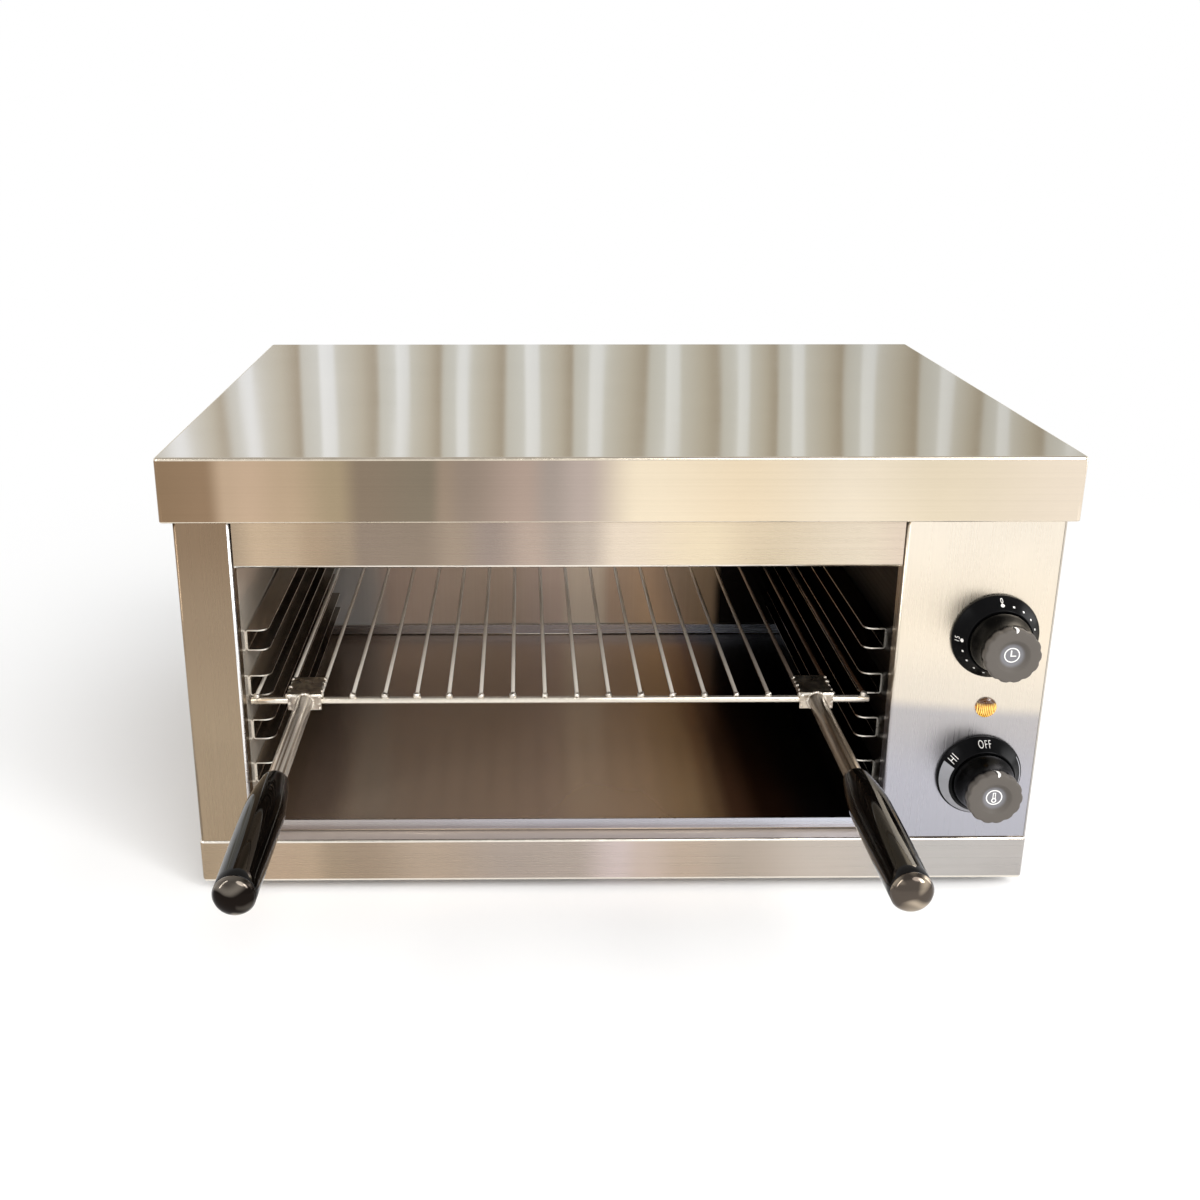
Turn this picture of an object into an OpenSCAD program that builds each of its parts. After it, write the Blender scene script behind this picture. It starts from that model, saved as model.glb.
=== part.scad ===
// Cheese melter: an open-fronted electric grill cabinet with a sliding rack.
// X runs to the right seen from the front, Y to the back, Z up; the feet stand on z = 0.

/* [Cabinet] */
// Width of the top cover over its side skirts
cover_w = 600; // [580:1:640]
// Depth of the cabinet behind its front face
body_d = 445; // [435:1:475]
// Height of the side panels between the base and the cover
body_h = 276; // [272:1:310]
// Thickness of the stainless sheet
sheet = 1; // [0.8:0.1:1.2]
// How far the cover stands out past each side panel
cover_over_side = 8.2; // [5:0.1:11]
// How far the cover stands out past the front face
cover_over_front = 2; // [1.5:0.1:4]
// Height of the cover's skirt
skirt_h = 43.5; // [38:0.5:48]
// Plan radius of the cover's corners
cover_corner_r = 3; // [2:0.5:5]
// Height of the base box
base_h = 33; // [28:0.5:40]
// How far the base stands out past the body on every side
base_proud = 1; // [0.5:0.1:2]
// Width of the flanges that stiffen the panels
flange = 12; // [9:0.5:13]

/* [Front] */
// Width of the left post
post_w = 37; // [32:0.5:45]
// Width of the control panel at the right
panel_w = 104.5; // [102:0.5:115]
// Height of the opening from the base to the header
opening_h = 202; // [196:1:210]
// Slit between each end of the header and its neighbour
header_slit = 1; // [0.5:0.1:1.5]
// Gap under the control panel
panel_gap = 1; // [0.5:0.1:1.5]
// Depth of the inward returns beside the opening
return_d = 12; // [8:0.5:18]
// Depth of the lip under the header
header_lip = 16; // [10:0.5:20]

/* [Vents and panel screws] */
// Width of a vent slot
vent_w = 3.5; // [2.5:0.5:5]
// Distance from one slot to the next
vent_pitch = 13; // [10:0.5:13]
// Number of slots in each row of the right side
side_vent_n = 12; // [6:1:12]
// Height of a slot in the right side
side_vent_h = 50; // [30:1:60]
// Distance of the rows' rear end from the back of the body
side_vent_rear = 98.5; // [60:0.5:120]
// Height of the lower row over the base
side_vent_low = 40; // [30:1:60]
// Distance from the lower row to the upper row
side_vent_step = 110; // [90:1:120]
// Number of slots in each group of the back
back_vent_n = 6; // [3:1:8]
// Length of a slot in the back
back_vent_l = 100; // [60:1:110]
// Distance from one group of the back to the next
back_vent_step = 140; // [125:1:145]
// Height of the lowest back slot over the base
back_vent_low = 120; // [90:1:140]
// Diameter of the screws in the panels
screw_d = 4; // [3.5:0.1:4.5]
// Distance of the back panel's screws from the base and from the cover's skirt
back_screw_in = 22; // [16:0.5:30]
// Distance from one screw of the cover to the next
cover_screw_step = 200; // [150:1:230]

/* [Cavity] */
// Space between the cavity's rear wall and the back of the body
rear_space = 44; // [35:1:60]
// Width of the front flanges of the side walls
liner_flange = 18; // [14:1:24]
// Space over the reflector for the insulation
head_space = 14; // [10:0.5:18]
// Number of runner levels on each side
runner_n = 4; // [4:1:4]
// Height of a runner channel
runner_h = 15.5; // [14:0.5:18]
// How far a runner reaches into the cavity
runner_reach = 15.3; // [13:0.1:17]
// Distance from one runner level to the next
runner_pitch = 33.8; // [30:0.1:36]
// Height of the lowest runner over the base
runner_first = 30.7; // [24:0.1:34]
// Distance of the runners' front ends behind the front face
runner_front = 30; // [29:0.5:45]
// Rounding of a runner flange's front corner
runner_corner_r = 7; // [3:0.5:10]
// Gap between the runners and the rear wall
runner_rear_gap = 6; // [3:0.5:10]

/* [Rack] */
// Runner level that holds the rack, 0 is the lowest
rack_level = 2; // [1:1:3]
// Number of lengthwise wires
wire_n = 20; // [14:1:24]
// Diameter of a rack wire
wire_d = 3; // [2.5:0.1:3.5]
// Diameter of the front and rear bars
bar_d = 5; // [4:0.5:6]
// Distance of the front bar behind the front face
bar_y = 23; // [20:0.5:24]
// Distance of the rear bar in front of the cavity's rear wall
rack_rear_gap = 13; // [11:0.5:33]
// Free space between a bar's tip and a runner, rack centred
rack_play = 5; // [4.5:0.1:7]
// Sideways place of the rack in that free space
rack_shift = -4; // [-4:0.5:4]
// How far the bars reach past the outer wires
bar_tip = 2.5; // [2:0.1:4]
// Depth to which a wire is welded into a bar or a plate
weld = 0.4; // [0.2:0.1:0.6]

/* [Handles] */
// Thickness of a handle bracket
bracket_t = 1.2; // [1:0.1:1.5]
// Length of a bracket's top plate
bracket_l = 31; // [24:0.5:40]
// Height of a bracket's front plate
bracket_h = 12; // [11:0.5:14]
// Diameter of a handle tube
tube_d = 12; // [11:0.5:13]
// Wall of a handle tube
tube_wall = 1.5; // [1:0.1:2]
// Bare length of a handle tube in front of its bracket
tube_l = 120; // [100:1:140]
// Length of a grip without its cap
grip_l = 128; // [110:1:140]
// Diameter of a grip where it meets the tube
grip_neck_d = 17; // [16:0.5:19]
// Largest diameter of a grip
grip_d = 25; // [22:0.5:28]
// Diameter of a grip at its front end
grip_end_d = 23.4; // [21:0.2:25]
// How far the cap domes forward
cap_dome = 6.5; // [5:0.5:9]
// Depth of the tube inside the grip
tube_in_grip = 95; // [80:1:100]

/* [Crumb tray] */
// Distance of the tray's lip behind the front face
tray_front = 11.5; // [8:0.5:15]
// Height of the tray's lip and sides
tray_lip_h = 9.5; // [8:0.5:12]
// Height of the tray's rear upstand
tray_rear_h = 11; // [9:0.5:14]
// Sideways clearance of the tray at each side
tray_side_gap = 1; // [0.6:0.1:2]

/* [Heating elements] */
// Diameter of an element's sheath
element_d = 8; // [6.5:0.1:8.5]
// Distance between the two legs of an element
element_leg_pitch = 60; // [50:1:70]
// Distance from one element to the next
element_pitch = 115; // [100:1:120]
// Depth of the elements under the reflector
element_drop = 25; // [20:0.5:32]
// Gap between the bends and the left wall
element_bend_gap = 22; // [15:1:40]
// Distance of each hanger from its side wall
hanger_in = 100; // [80:1:120]

/* [Controls] */
// Distance of the knobs from the right side of the body
knob_in = 39; // [37.5:0.5:44]
// Height of the timer over the base
timer_h = 153.5; // [140:0.5:160]
// Height of the pilot lamp over the base
pilot_h = 101; // [96:0.5:106]
// Height of the thermostat over the base
thermostat_h = 50.3; // [45:0.5:56]
// Diameter of a dial plate
bezel_d = 59; // [56:0.5:62]
// Height of a dial plate's cone over the panel
bezel_t = 12; // [10:0.5:13]
// Diameter of a knob's skirt
knob_skirt_d = 41.4; // [40:0.2:43]
// Diameter of a knob's front disc
knob_d = 37.4; // [36:0.2:39]
// Distance of a knob's face in front of the panel
knob_face = 38.5; // [37:0.5:41]
// Number of shallow scallops round a knob
scallop_n = 14; // [10:1:16]
// Diameter of a control shaft
shaft_d = 6; // [5.5:0.1:6.4]
// Diameter of the pilot lamp's lens
pilot_d = 14.4; // [14:0.2:17]

/* [Cable gland and feet] */
// Diameter of the hole for the supply cable
cable_bore_d = 10; // [8:0.2:11]
// Thread diameter of the cable gland
gland_d = 20; // [18:0.5:22]
// How far the gland stands out of the back panel
gland_out = 22; // [18:0.5:26]
// Height of the gland over the base
gland_h = 35; // [28:0.5:45]
// Distance of the gland from the right side of the body
gland_in = 42; // [36:0.5:48]
// Height of a foot
foot_h = 8; // [6:0.5:10]
// Diameter of a foot
foot_d = 30; // [26:0.5:32]
// Distance of each foot's centre from the edges of the base
foot_in = 38; // [34:0.5:40]

/* [Hidden] */
$fn = 48;
eps = 0.01;
run_gap = 0.05;       // radial clearance of a shaft that turns
slide_gap = 0.3;      // clearance under what slides
hole_gap = 0.1;       // radial clearance of a screw or a fixed piece in its hole

// Heights
deck_z = foot_h + base_h;
body_top = deck_z + body_h;
cover_top = body_top + sheet;
head_z = deck_z + opening_h;
reflector_z = body_top - head_space;
element_z = reflector_z - element_drop;

// Faces from left to right
bw = cover_w / 2 - cover_over_side;
post_x = -bw + post_w;
panel_x = bw - panel_w;
cav_l = post_x - sheet;
cav_r = panel_x + sheet;
knob_x = bw - knob_in;
gland_x = bw - gland_in;

// The front face lies where the whole object is centred on y = 0
handle_front = tube_l + grip_l + cap_dome - (bar_y - bar_d / 2 + weld - bracket_t);
front_y = (handle_front - (body_d + gland_out)) / 2;

// Cavity and rack
cavity_d = body_d - rear_space;
rack_d = cavity_d - rack_rear_gap - bar_y;
runner_rear = cavity_d - runner_rear_gap;
rack_x = (post_x + panel_x) / 2 + rack_shift;
bar_l = panel_x - post_x - 2 * rack_play;
wire_span = bar_l - 2 * bar_tip - wire_d;
wire_pitch = wire_span / (wire_n - 1);
wire_z = runner_z(rack_level) + sheet + slide_gap + wire_d / 2;
bar_z = wire_z - wire_d / 2 + weld - bar_d / 2;
rear_bar_z = wire_z + wire_d / 2 - weld + bar_d / 2;
bracket_w = wire_pitch + 1;
bracket_z = wire_z + wire_d / 2 - weld / 2;
bracket_face = bar_y - bar_d / 2 + weld - bracket_t;

// Controls and small parts
timer_z = deck_z + timer_h;
pilot_z = deck_z + pilot_h;
thermostat_z = deck_z + thermostat_h;
control_screw_pitch = 28;
timer_box = [46, 38, 46];
thermostat_box = [40, 30, 40];
gland_z = deck_z + gland_h;
foot_screw_d = 5;
nut_t = 4;
base_side_flange = 60;
base_end_flange = 20;
bush_d = 12;
bush_l = 11;
bush_rim = 2.5;
element_out = 17;     // how far the legs reach past the right wall
element_end = cav_r + element_out;
terminal_l = 12;
terminal_d = 3;
bulb_d = 6;
bulb_l = 90;
bulb_in = 35;         // distance of the bulb from the right wall
bulb_end = cav_r - bulb_in;
bulb_z = reflector_z - bulb_d / 2;
bulb_y = cavity_d - bulb_d / 2;
capillary_d = 2;
capillary_out = 12;   // how far the capillary runs outside the right wall
control_room = 90;    // depth behind the controls that their wires keep free
wire_thick = 3;
block_l = 60;
block_w = 22;
block_h = 20;
block_in = 75;
block_y = body_d - block_in;
block_pitch = 11;     // distance from one clamp of the terminal block to the next
back_vent_x = -20;    // middle of the three wide groups of back slots
control_vent = [-35, 20];  // ends of the group behind the controls, from the knobs
block_x = knob_x;

function runner_z(level) = deck_z + runner_first + level * runner_pitch;
function element_y(i) = cavity_d / 2 + (i - 1) * element_pitch;
function wire_x(i) = rack_x + (i - (wire_n - 1) / 2) * wire_pitch;
function bracket_x(side) = side < 0 ? (wire_x(1) + wire_x(2)) / 2
  : (wire_x(wire_n - 3) + wire_x(wire_n - 2)) / 2;

// Puts a piece drawn from the front face into the frame of the whole object
module place() translate([0, front_y, 0]) children();

// A block between its low and high faces along X, Y and Z
module block(x, y, z)
  translate([x[0], y[0], z[0]]) cube([x[1] - x[0], y[1] - y[0], z[1] - z[0]]);

// A rectangle with round corners, from its low corner
module round_rect(w, d, r) {
  translate([r, 0]) square([w - 2 * r, d]);
  translate([0, r]) square([w, d - 2 * r]);
  for (x = [r, w - r], y = [r, d - r]) translate([x, y]) circle(r);
}

// A rod along X, Y, or forward out of the front face
module rod_x(p, l, d) translate(p) rotate([0, 90, 0]) cylinder(h = l, d = d);
module rod_y(p, l, d) translate(p) rotate([-90, 0, 0]) cylinder(h = l, d = d);
module forward(p) translate(p) rotate([90, 0, 0]) children();

// A thin tube that follows points; each stretch runs a little past its inner bends
module run(points, d) {
  last = len(points) - 2;
  for (i = [0 : last]) {
    step = points[i + 1] - points[i];
    l = norm(step);
    before = i == 0 ? 0 : d / 2;
    after = i == last ? 0 : d / 2;
    translate(points[i]) rotate([0, acos(step[2] / l), atan2(step[1], step[0])])
      translate([0, 0, -before]) cylinder(h = l + before + after, d = d);
  }
}

// ---- base and feet ----

module at_feet()
  for (x = [-1, 1], y = [-base_proud + foot_in, body_d + base_proud - foot_in])
    translate([x * (bw + base_proud - foot_in), y, 0]) children();

// Folded box that carries the body: a deck, four skirts and inward bottom flanges
module base_pan() color("#cfc8be") {
  hw = bw + base_proud;
  rear = body_d + base_proud;
  difference() {
    block([-hw, hw], [-base_proud, rear], [foot_h, deck_z]);
    block([-hw + sheet, hw - sheet], [-base_proud + sheet, rear - sheet],
      [foot_h + sheet, deck_z - sheet]);
    block([-hw + base_side_flange, hw - base_side_flange],
      [-base_proud + base_end_flange, rear - base_end_flange], [foot_h - 1, foot_h + sheet + eps]);
    at_feet() translate([0, 0, foot_h - 1]) cylinder(h = sheet + 2, d = foot_screw_d + 2 * hole_gap);
  }
}

module feet() color("#1d1d1d") at_feet() difference() {
  cylinder(h = foot_h, d1 = foot_d - 3, d2 = foot_d);
  translate([0, 0, -1]) cylinder(h = foot_h + 2, d = foot_screw_d + 2 * hole_gap);
  translate([0, 0, -1]) cylinder(h = foot_h - 2, d = 2 * foot_screw_d + 1);
}

module foot_screws() color("#b9b9b5") at_feet() {
  translate([0, 0, foot_h - 3 - 2.5]) cylinder(h = 2.5, d = 2 * foot_screw_d - 1);
  translate([0, 0, foot_h - 3 - eps]) cylinder(h = 3 + sheet + nut_t + 2, d = foot_screw_d);
  translate([0, 0, foot_h + sheet]) cylinder(h = nut_t, d = 2 * foot_screw_d - 0.8, $fn = 6);
}

// ---- outer panels ----

module at_back_screws()
  for (x = [-1, 1], z = [deck_z + back_screw_in, (deck_z + body_top) / 2,
      body_top - skirt_h - back_screw_in])
    translate([x * (bw - flange / 2 - sheet / 2), body_d, z]) children();

module at_cover_screws()
  for (i = [-1 : 1]) translate([i * cover_screw_step, body_d, body_top - skirt_h / 2]) children();

module screw_hole() rod_y([0, -2 * screw_d, 0], 4 * screw_d, screw_d + 2 * hole_gap);

module pan_screw(under_head, l) {
  translate([0, under_head - l, 0]) rotate([-90, 0, 0]) cylinder(h = l + eps, d = screw_d);
  translate([0, under_head, 0]) rotate([-90, 0, 0]) cylinder(h = 2.2, d = 2 * screw_d);
}

// Left side with the front post, its return beside the opening, and top and rear flanges
module left_side_panel() color("#c9bda9") difference() {
  union() {
    block([-bw, -bw + sheet], [0, body_d - sheet], [deck_z, body_top]);
    block([-bw, post_x], [0, sheet], [deck_z, body_top]);
    block([post_x - sheet, post_x], [0, return_d], [deck_z, reflector_z]);
    block([-bw, -bw + flange], [0, body_d - sheet], [body_top - sheet, body_top]);
    block([-bw, -bw + flange], [body_d - 2 * sheet, body_d - sheet], [deck_z, body_top]);
  }
  at_back_screws() screw_hole();
}

// Right side with two rows of vent slots beside the controls
module right_side_panel() color("#cfc8be") difference() {
  union() {
    block([bw - sheet, bw], [0, body_d - sheet], [deck_z, body_top]);
    block([bw - flange, bw], [sheet, 2 * sheet], [deck_z, body_top]);
    block([bw - flange, bw], [sheet, body_d - sheet], [body_top - sheet, body_top]);
    block([bw - flange, bw], [body_d - 2 * sheet, body_d - sheet], [deck_z, body_top]);
  }
  at_back_screws() screw_hole();
  rear = body_d - side_vent_rear;
  for (i = [0 : side_vent_n - 1], row = [0, 1]) {
    z = deck_z + side_vent_low + row * side_vent_step;
    block([bw - 2 * sheet, bw + sheet], [rear - vent_w - i * vent_pitch, rear - i * vent_pitch],
      [z, z + side_vent_h]);
  }
}

module control_panel() color("#d8d2c8") {
  right = bw - sheet - slide_gap;
  low = deck_z + panel_gap;
  difference() {
    union() {
      block([panel_x, right], [0, sheet], [low, body_top]);
      block([panel_x, panel_x + sheet], [0, return_d], [low, reflector_z]);
      block([cav_r + 2 * sheet, bw - flange - sheet], [0, return_d], [low, low + sheet]);
    }
    for (z = [timer_z, thermostat_z]) {
      translate([knob_x, 0, z]) screw_hole_of(shaft_d + 4);
      for (s = [-1, 1]) translate([knob_x + s * control_screw_pitch / 2, 0, z])
        screw_hole_of(3 + 2 * hole_gap);
    }
    translate([knob_x, 0, pilot_z]) screw_hole_of(pilot_d - 2);
  }
}

module screw_hole_of(d) rod_y([0, -2, 0], sheet + 4, d);

// Upper front panel between the post and the control panel
module header_panel() color("#c4b391") {
  left = post_x + header_slit;
  right = panel_x - header_slit;
  block([left, right], [0, sheet], [head_z, body_top]);
  block([left, right], [0, header_lip], [head_z, head_z + sheet]);
  for (x = [left, right - sheet]) block([x, x + sheet], [0, return_d], [head_z, reflector_z]);
}

module back_panel() color("#c9c6c0") difference() {
  block([-bw, bw], [body_d - sheet, body_d], [deck_z, body_top]);
  at_back_screws() screw_hole();
  at_cover_screws() screw_hole();
  translate([gland_x, body_d - sheet, gland_z]) screw_hole_of(gland_d + 2 * hole_gap);
  for (i = [-1 : 1])
    back_vents((back_vent_x + i * back_vent_step) * [1, 1] + [-1, 1] * back_vent_l / 2);
  back_vents(knob_x * [1, 1] + control_vent);
}

// One group of slots in the back between two places along X
module back_vents(x) for (i = [0 : back_vent_n - 1])
  block(x, [body_d - 2 * sheet, body_d + sheet],
    (deck_z + back_vent_low + i * vent_pitch) * [1, 1] + [0, vent_w]);

module back_screws() color("#b9b9b5") at_back_screws() pan_screw(0, 7);

// Folded lid with a skirt all round, screwed to the back panel
module top_cover() color("#c8c0b0") {
  d = body_d + sheet + cover_over_front;
  translate([-cover_w / 2, -cover_over_front, cover_top - skirt_h]) difference() {
    linear_extrude(skirt_h) round_rect(cover_w, d, cover_corner_r);
    translate([sheet, sheet, -1]) linear_extrude(skirt_h - sheet + 1)
      round_rect(cover_w - 2 * sheet, d - 2 * sheet, cover_corner_r - sheet);
    translate([cover_w / 2, cover_over_front, skirt_h - cover_top]) at_cover_screws() screw_hole();
  }
}

module cover_screws() color("#b9b9b5") at_cover_screws() pan_screw(sheet, 8);

// ---- cavity ----

// Side wall of the cavity, reaching away from the cavity at its front flange
module liner_wall() {
  block([-sheet, 0], [sheet, cavity_d], [deck_z, reflector_z]);
  block([-liner_flange, 0], [sheet, 2 * sheet], [deck_z + panel_gap + 2 * sheet, reflector_z]);
}

module left_liner() color("#8f8779") translate([cav_l, 0, 0]) liner_wall();

module right_liner() color("#8f8779") difference() {
  translate([cav_r, 0, 0]) mirror([1, 0, 0]) liner_wall();
  at_legs() rod_x([cav_r - 1, 0, element_z], sheet + 2, bush_d + 2 * hole_gap);
  rod_x([cav_r - 1, bulb_y, bulb_z], sheet + 2, capillary_d + 2 * hole_gap);
}

module rear_liner() color("#8a8176") {
  block([cav_l - sheet, cav_r + sheet], [cavity_d, cavity_d + sheet], [deck_z, reflector_z]);
  block([cav_l - sheet, cav_r + sheet], [cavity_d, cavity_d + flange], [deck_z, deck_z + sheet]);
}

// Polished sheet over the elements, with flanges up to the cover
module ceiling_reflector() color("#b0aaa0") {
  x = [cav_l - sheet, cav_r + sheet];
  block(x, [sheet, cavity_d + sheet], [reflector_z, reflector_z + sheet]);
  block(x, [sheet, 2 * sheet], [reflector_z, body_top]);
  block(x, [cavity_d, cavity_d + sheet], [reflector_z, body_top]);
}

module insulation_blanket() color("#e8e4d8")
  block([cav_l, cav_r], [2 * sheet + slide_gap, cavity_d - slide_gap],
    [reflector_z + sheet, body_top - slide_gap]);

// One U-shaped channel on a wall at x = 0 that reaches towards +X
module runner(level) {
  l = runner_rear - runner_front;
  r = runner_corner_r;
  z = runner_z(level);
  block([0, sheet], [runner_front, runner_rear], [z, z + runner_h]);
  for (dz = [0, runner_h - sheet]) translate([0, runner_front, z + dz]) linear_extrude(sheet) {
    square([runner_reach - r, l]);
    translate([0, r]) square([runner_reach, l - r]);
    translate([runner_reach - r, r]) circle(r);
  }
}

module runner_left(level) color("#a79f92") translate([cav_l, 0, 0]) runner(level);
module runner_right(level) color("#a79f92") translate([cav_r, 0, 0]) mirror([1, 0, 0]) runner(level);

// ---- rack and handles ----

module rack_bars() color("#d6d2ca") {
  rod_x([rack_x - bar_l / 2, bar_y, bar_z], bar_l, bar_d);
  rod_x([rack_x - bar_l / 2, bar_y + rack_d, rear_bar_z], bar_l, bar_d);
}

module rack_wires() color("#d6d2ca") for (i = [0 : wire_n - 1])
  rod_y([wire_x(i), bar_y - bar_d / 2 + weld, wire_z], rack_d + bar_d - weld, wire_d);

// Folded plate welded on two wires and down the front of the bar
module rack_bracket(side) color("#c9c4ba") {
  x = [bracket_x(side) - bracket_w / 2, bracket_x(side) + bracket_w / 2];
  top = bracket_z + bracket_t;
  block(x, [bracket_face, bracket_face + bracket_l], [bracket_z, top]);
  block(x, [bracket_face, bracket_face + bracket_t], [top - bracket_h, top]);
}

module handle_tube(side) color("#dcd8d0") forward([bracket_x(side), bracket_face, bar_z])
  difference() {
    cylinder(h = tube_l + tube_in_grip, d = tube_d);
    translate([0, 0, -1]) cylinder(h = tube_l + tube_in_grip + 2, d = tube_d - 2 * tube_wall);
  }

// Turned grip that swells from its neck and closes on the end of the tube
module handle_grip(side) color("#161413") forward([bracket_x(side), bracket_face - tube_l, bar_z]) {
  bore = tube_d / 2 + run_gap;
  neck = grip_neck_d / 2;
  full = grip_d / 2;
  end = grip_end_d / 2;
  swell = [for (t = [0 : 0.125 : 1]) [neck + (full - neck) * sin(90 * t), 1.5 + 44 * t]];
  rotate_extrude() polygon(concat([[bore, 0], [neck - 1, 0], [neck - 0.3, 0.4]], swell,
    [[full, grip_l - 40], [end, grip_l], [6, grip_l], [6, grip_l - 14], [4, grip_l - 14],
     [4, tube_in_grip + 1], [bore, tube_in_grip + 1]]));
}

// Domed end cap with a plug that sits in the grip
module handle_cap(side) color("#2a2826")
  forward([bracket_x(side), bracket_face - tube_l - grip_l, bar_z]) {
    end = grip_end_d / 2;
    dome = [for (a = [0 : 10 : 90]) [end * cos(a), 1 + (cap_dome - 1) * sin(a)]];
    rotate_extrude() polygon(concat([[0, 0], [end, 0]], dome));
    translate([0, 0, -12]) cylinder(h = 12 + eps, r = 6 - run_gap);
  }

// ---- crumb tray ----

module crumb_tray() color("#5a4d45") {
  x = [post_x + tray_side_gap, panel_x - tray_side_gap];
  y = [tray_front, cavity_d - 1.5];
  z = deck_z + slide_gap;
  block(x, y, [z, z + sheet]);
  block(x, [y[0], y[0] + sheet], [z, z + tray_lip_h]);
  for (side = [x[0], x[1] - sheet]) block([side, side + sheet], y, [z, z + tray_lip_h]);
  block(x, [y[1] - sheet, y[1]], [z, z + tray_rear_h]);
}

// ---- heating ----

module at_legs() for (i = [0 : 2], s = [-1, 1])
  translate([0, element_y(i) + s * element_leg_pitch / 2, 0]) children();

// Sheathed U-shaped element with both ends in the right wall
module heating_element(i) color("#4b4038") translate([0, element_y(i), element_z]) {
  r = element_leg_pitch / 2;
  bend_x = cav_l + element_bend_gap + r + element_d / 2;
  for (s = [-1, 1]) rod_x([bend_x, s * r, 0], element_end - bend_x, element_d);
  translate([bend_x, 0, 0]) rotate([0, 0, 90]) rotate_extrude(angle = 180)
    translate([r, 0]) circle(d = element_d);
}

// Folded strip under the reflector with a hole for each leg
module element_hanger(x) color("#a79f92") difference() {
  y = [element_y(0) - element_leg_pitch / 2 - 15, element_y(2) + element_leg_pitch / 2 + 15];
  union() {
    block([x, x + 1.5], y, [element_z - element_d, reflector_z]);
    block([x, x + flange], y, [reflector_z - 1.5, reflector_z]);
  }
  at_legs() rod_x([x - 1, 0, element_z], 3.5, element_d + 0.4);
}

// Threaded bushes that hold the legs in the wall
module element_bushes() color("#b58e4a") at_legs() difference() {
  union() {
    rod_x([cav_r - bush_rim, 0, element_z], bush_rim, bush_d + 5);
    rod_x([cav_r - eps, 0, element_z], bush_l, bush_d);
    translate([cav_r + sheet, 0, element_z]) rotate([0, 90, 0])
      cylinder(h = nut_t, d = bush_d + 7, $fn = 6);
  }
  rod_x([cav_r - 2 * bush_rim, 0, element_z], bush_l + 4 * bush_rim, element_d + 2 * run_gap);
}

module element_terminals() color("#d9d4c6") at_legs() {
  rod_x([element_end, 0, element_z], terminal_d, element_d);
  rod_x([element_end + terminal_d - eps, 0, element_z], terminal_l, terminal_d);
}

// ---- controls ----

// Conical dial plate behind a knob
module bezel(z) color("#191919") forward([knob_x, 0, z]) difference() {
  r = bezel_d / 2;
  rotate_extrude() polygon([[0, 0], [r, 0], [r, 2], [r - 0.8, 3.2],
    [knob_skirt_d / 2 + 1.6, bezel_t - 0.4], [knob_skirt_d / 2 + 1.2, bezel_t], [0, bezel_t]]);
  translate([0, 0, -1]) cylinder(h = bezel_t + 2, d = shaft_d + 4);
  for (s = [-1, 1]) translate([s * control_screw_pitch / 2, 0, -1])
    cylinder(h = bezel_t + 2, d = 6.4);
}

// Turned knob with a skirt, a scalloped front disc and a dished middle
module knob(z) color("#2b2b2d") forward([knob_x, 0, z]) {
  low = bezel_t + slide_gap;
  rs = knob_skirt_d / 2;
  rd = knob_d / 2;
  difference() {
    rotate_extrude() polygon([[0, low], [rs, low], [rs, low + 2.5], [rs - 0.8, low + 5],
      [rs - 2.2, low + 8], [rd - 1.2, low + 12], [rd - 1.3, knob_face - 10],
      [rd - 0.5, knob_face - 7], [rd, knob_face - 4.5], [rd, knob_face - 1.6],
      [rd - 0.5, knob_face - 0.5], [rd - 1.6, knob_face], [11, knob_face],
      [9.4, knob_face - 1.1], [6.4, knob_face - 2.6], [0, knob_face - 2.8]]);
    for (i = [0 : scallop_n - 1]) rotate(360 / scallop_n * (i + 0.5))
      translate([rd + 4.5, 0, knob_face - 9]) cylinder(h = 12, r = 5.1);
    translate([0, 0, low - 1]) cylinder(h = 17, d = shaft_d + 2 * run_gap);
  }
}

module shaft(z, box) color("#b8b4aa") translate([knob_x, 0, z])
  rod_y([0, -bezel_t - 15, 0], bezel_t + 15 + box[1] / 2, shaft_d);

// Switch body screwed to the back of the panel
module control_body(z, box) color("#e6e0d2") translate([knob_x, sheet, z]) difference() {
  block([-box[0] / 2, box[0] / 2], [0, box[1]], [-box[2] / 2, box[2] / 2]);
  rod_y([0, -1, 0], box[1] / 2 + 1.5, shaft_d + 2 * run_gap);
  for (s = [-1, 1]) rod_y([s * control_screw_pitch / 2, -1, 0], 8, 3 + 2 * hole_gap);
}

module control_screws() color("#b9b9b5")
  for (z = [timer_z, thermostat_z], s = [-1, 1])
    translate([knob_x + s * control_screw_pitch / 2, 0, z]) {
      rod_y([0, -eps, 0], sheet + 6, 3);
      rod_y([0, -2, 0], 2, 5.8);
    }

module pilot_lens() color("#f2a41c") forward([knob_x, 0, pilot_z]) {
  r = pilot_d / 2;
  rotate_extrude() polygon([[0, 0], [r, 0], [r, 1], [r - 0.6, 1.8], [r - 1.6, 2.2],
    [r - 2.2, 3.2], [0, 4]]);
  translate([0, 0, -sheet]) cylinder(h = sheet + eps, r = r - 1.2);
}

module pilot_body() color("#e9e5da") translate([knob_x, sheet, pilot_z]) {
  rod_y([0, 0, 0], 3, pilot_d);
  rod_y([0, 3 - eps, 0], 22, pilot_d - 4);
  for (s = [-2.5, 2.5]) block([-0.4, 0.4], [25 - 2 * eps, 31], [s - 1.5, s + 1.5]);
}

// Capillary thermostat's sensing bulb, laid in the rear corner under the reflector
module thermostat_bulb() color("#b87a4b")
  rod_x([bulb_end - bulb_l, bulb_y, bulb_z], bulb_l, bulb_d);

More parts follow.
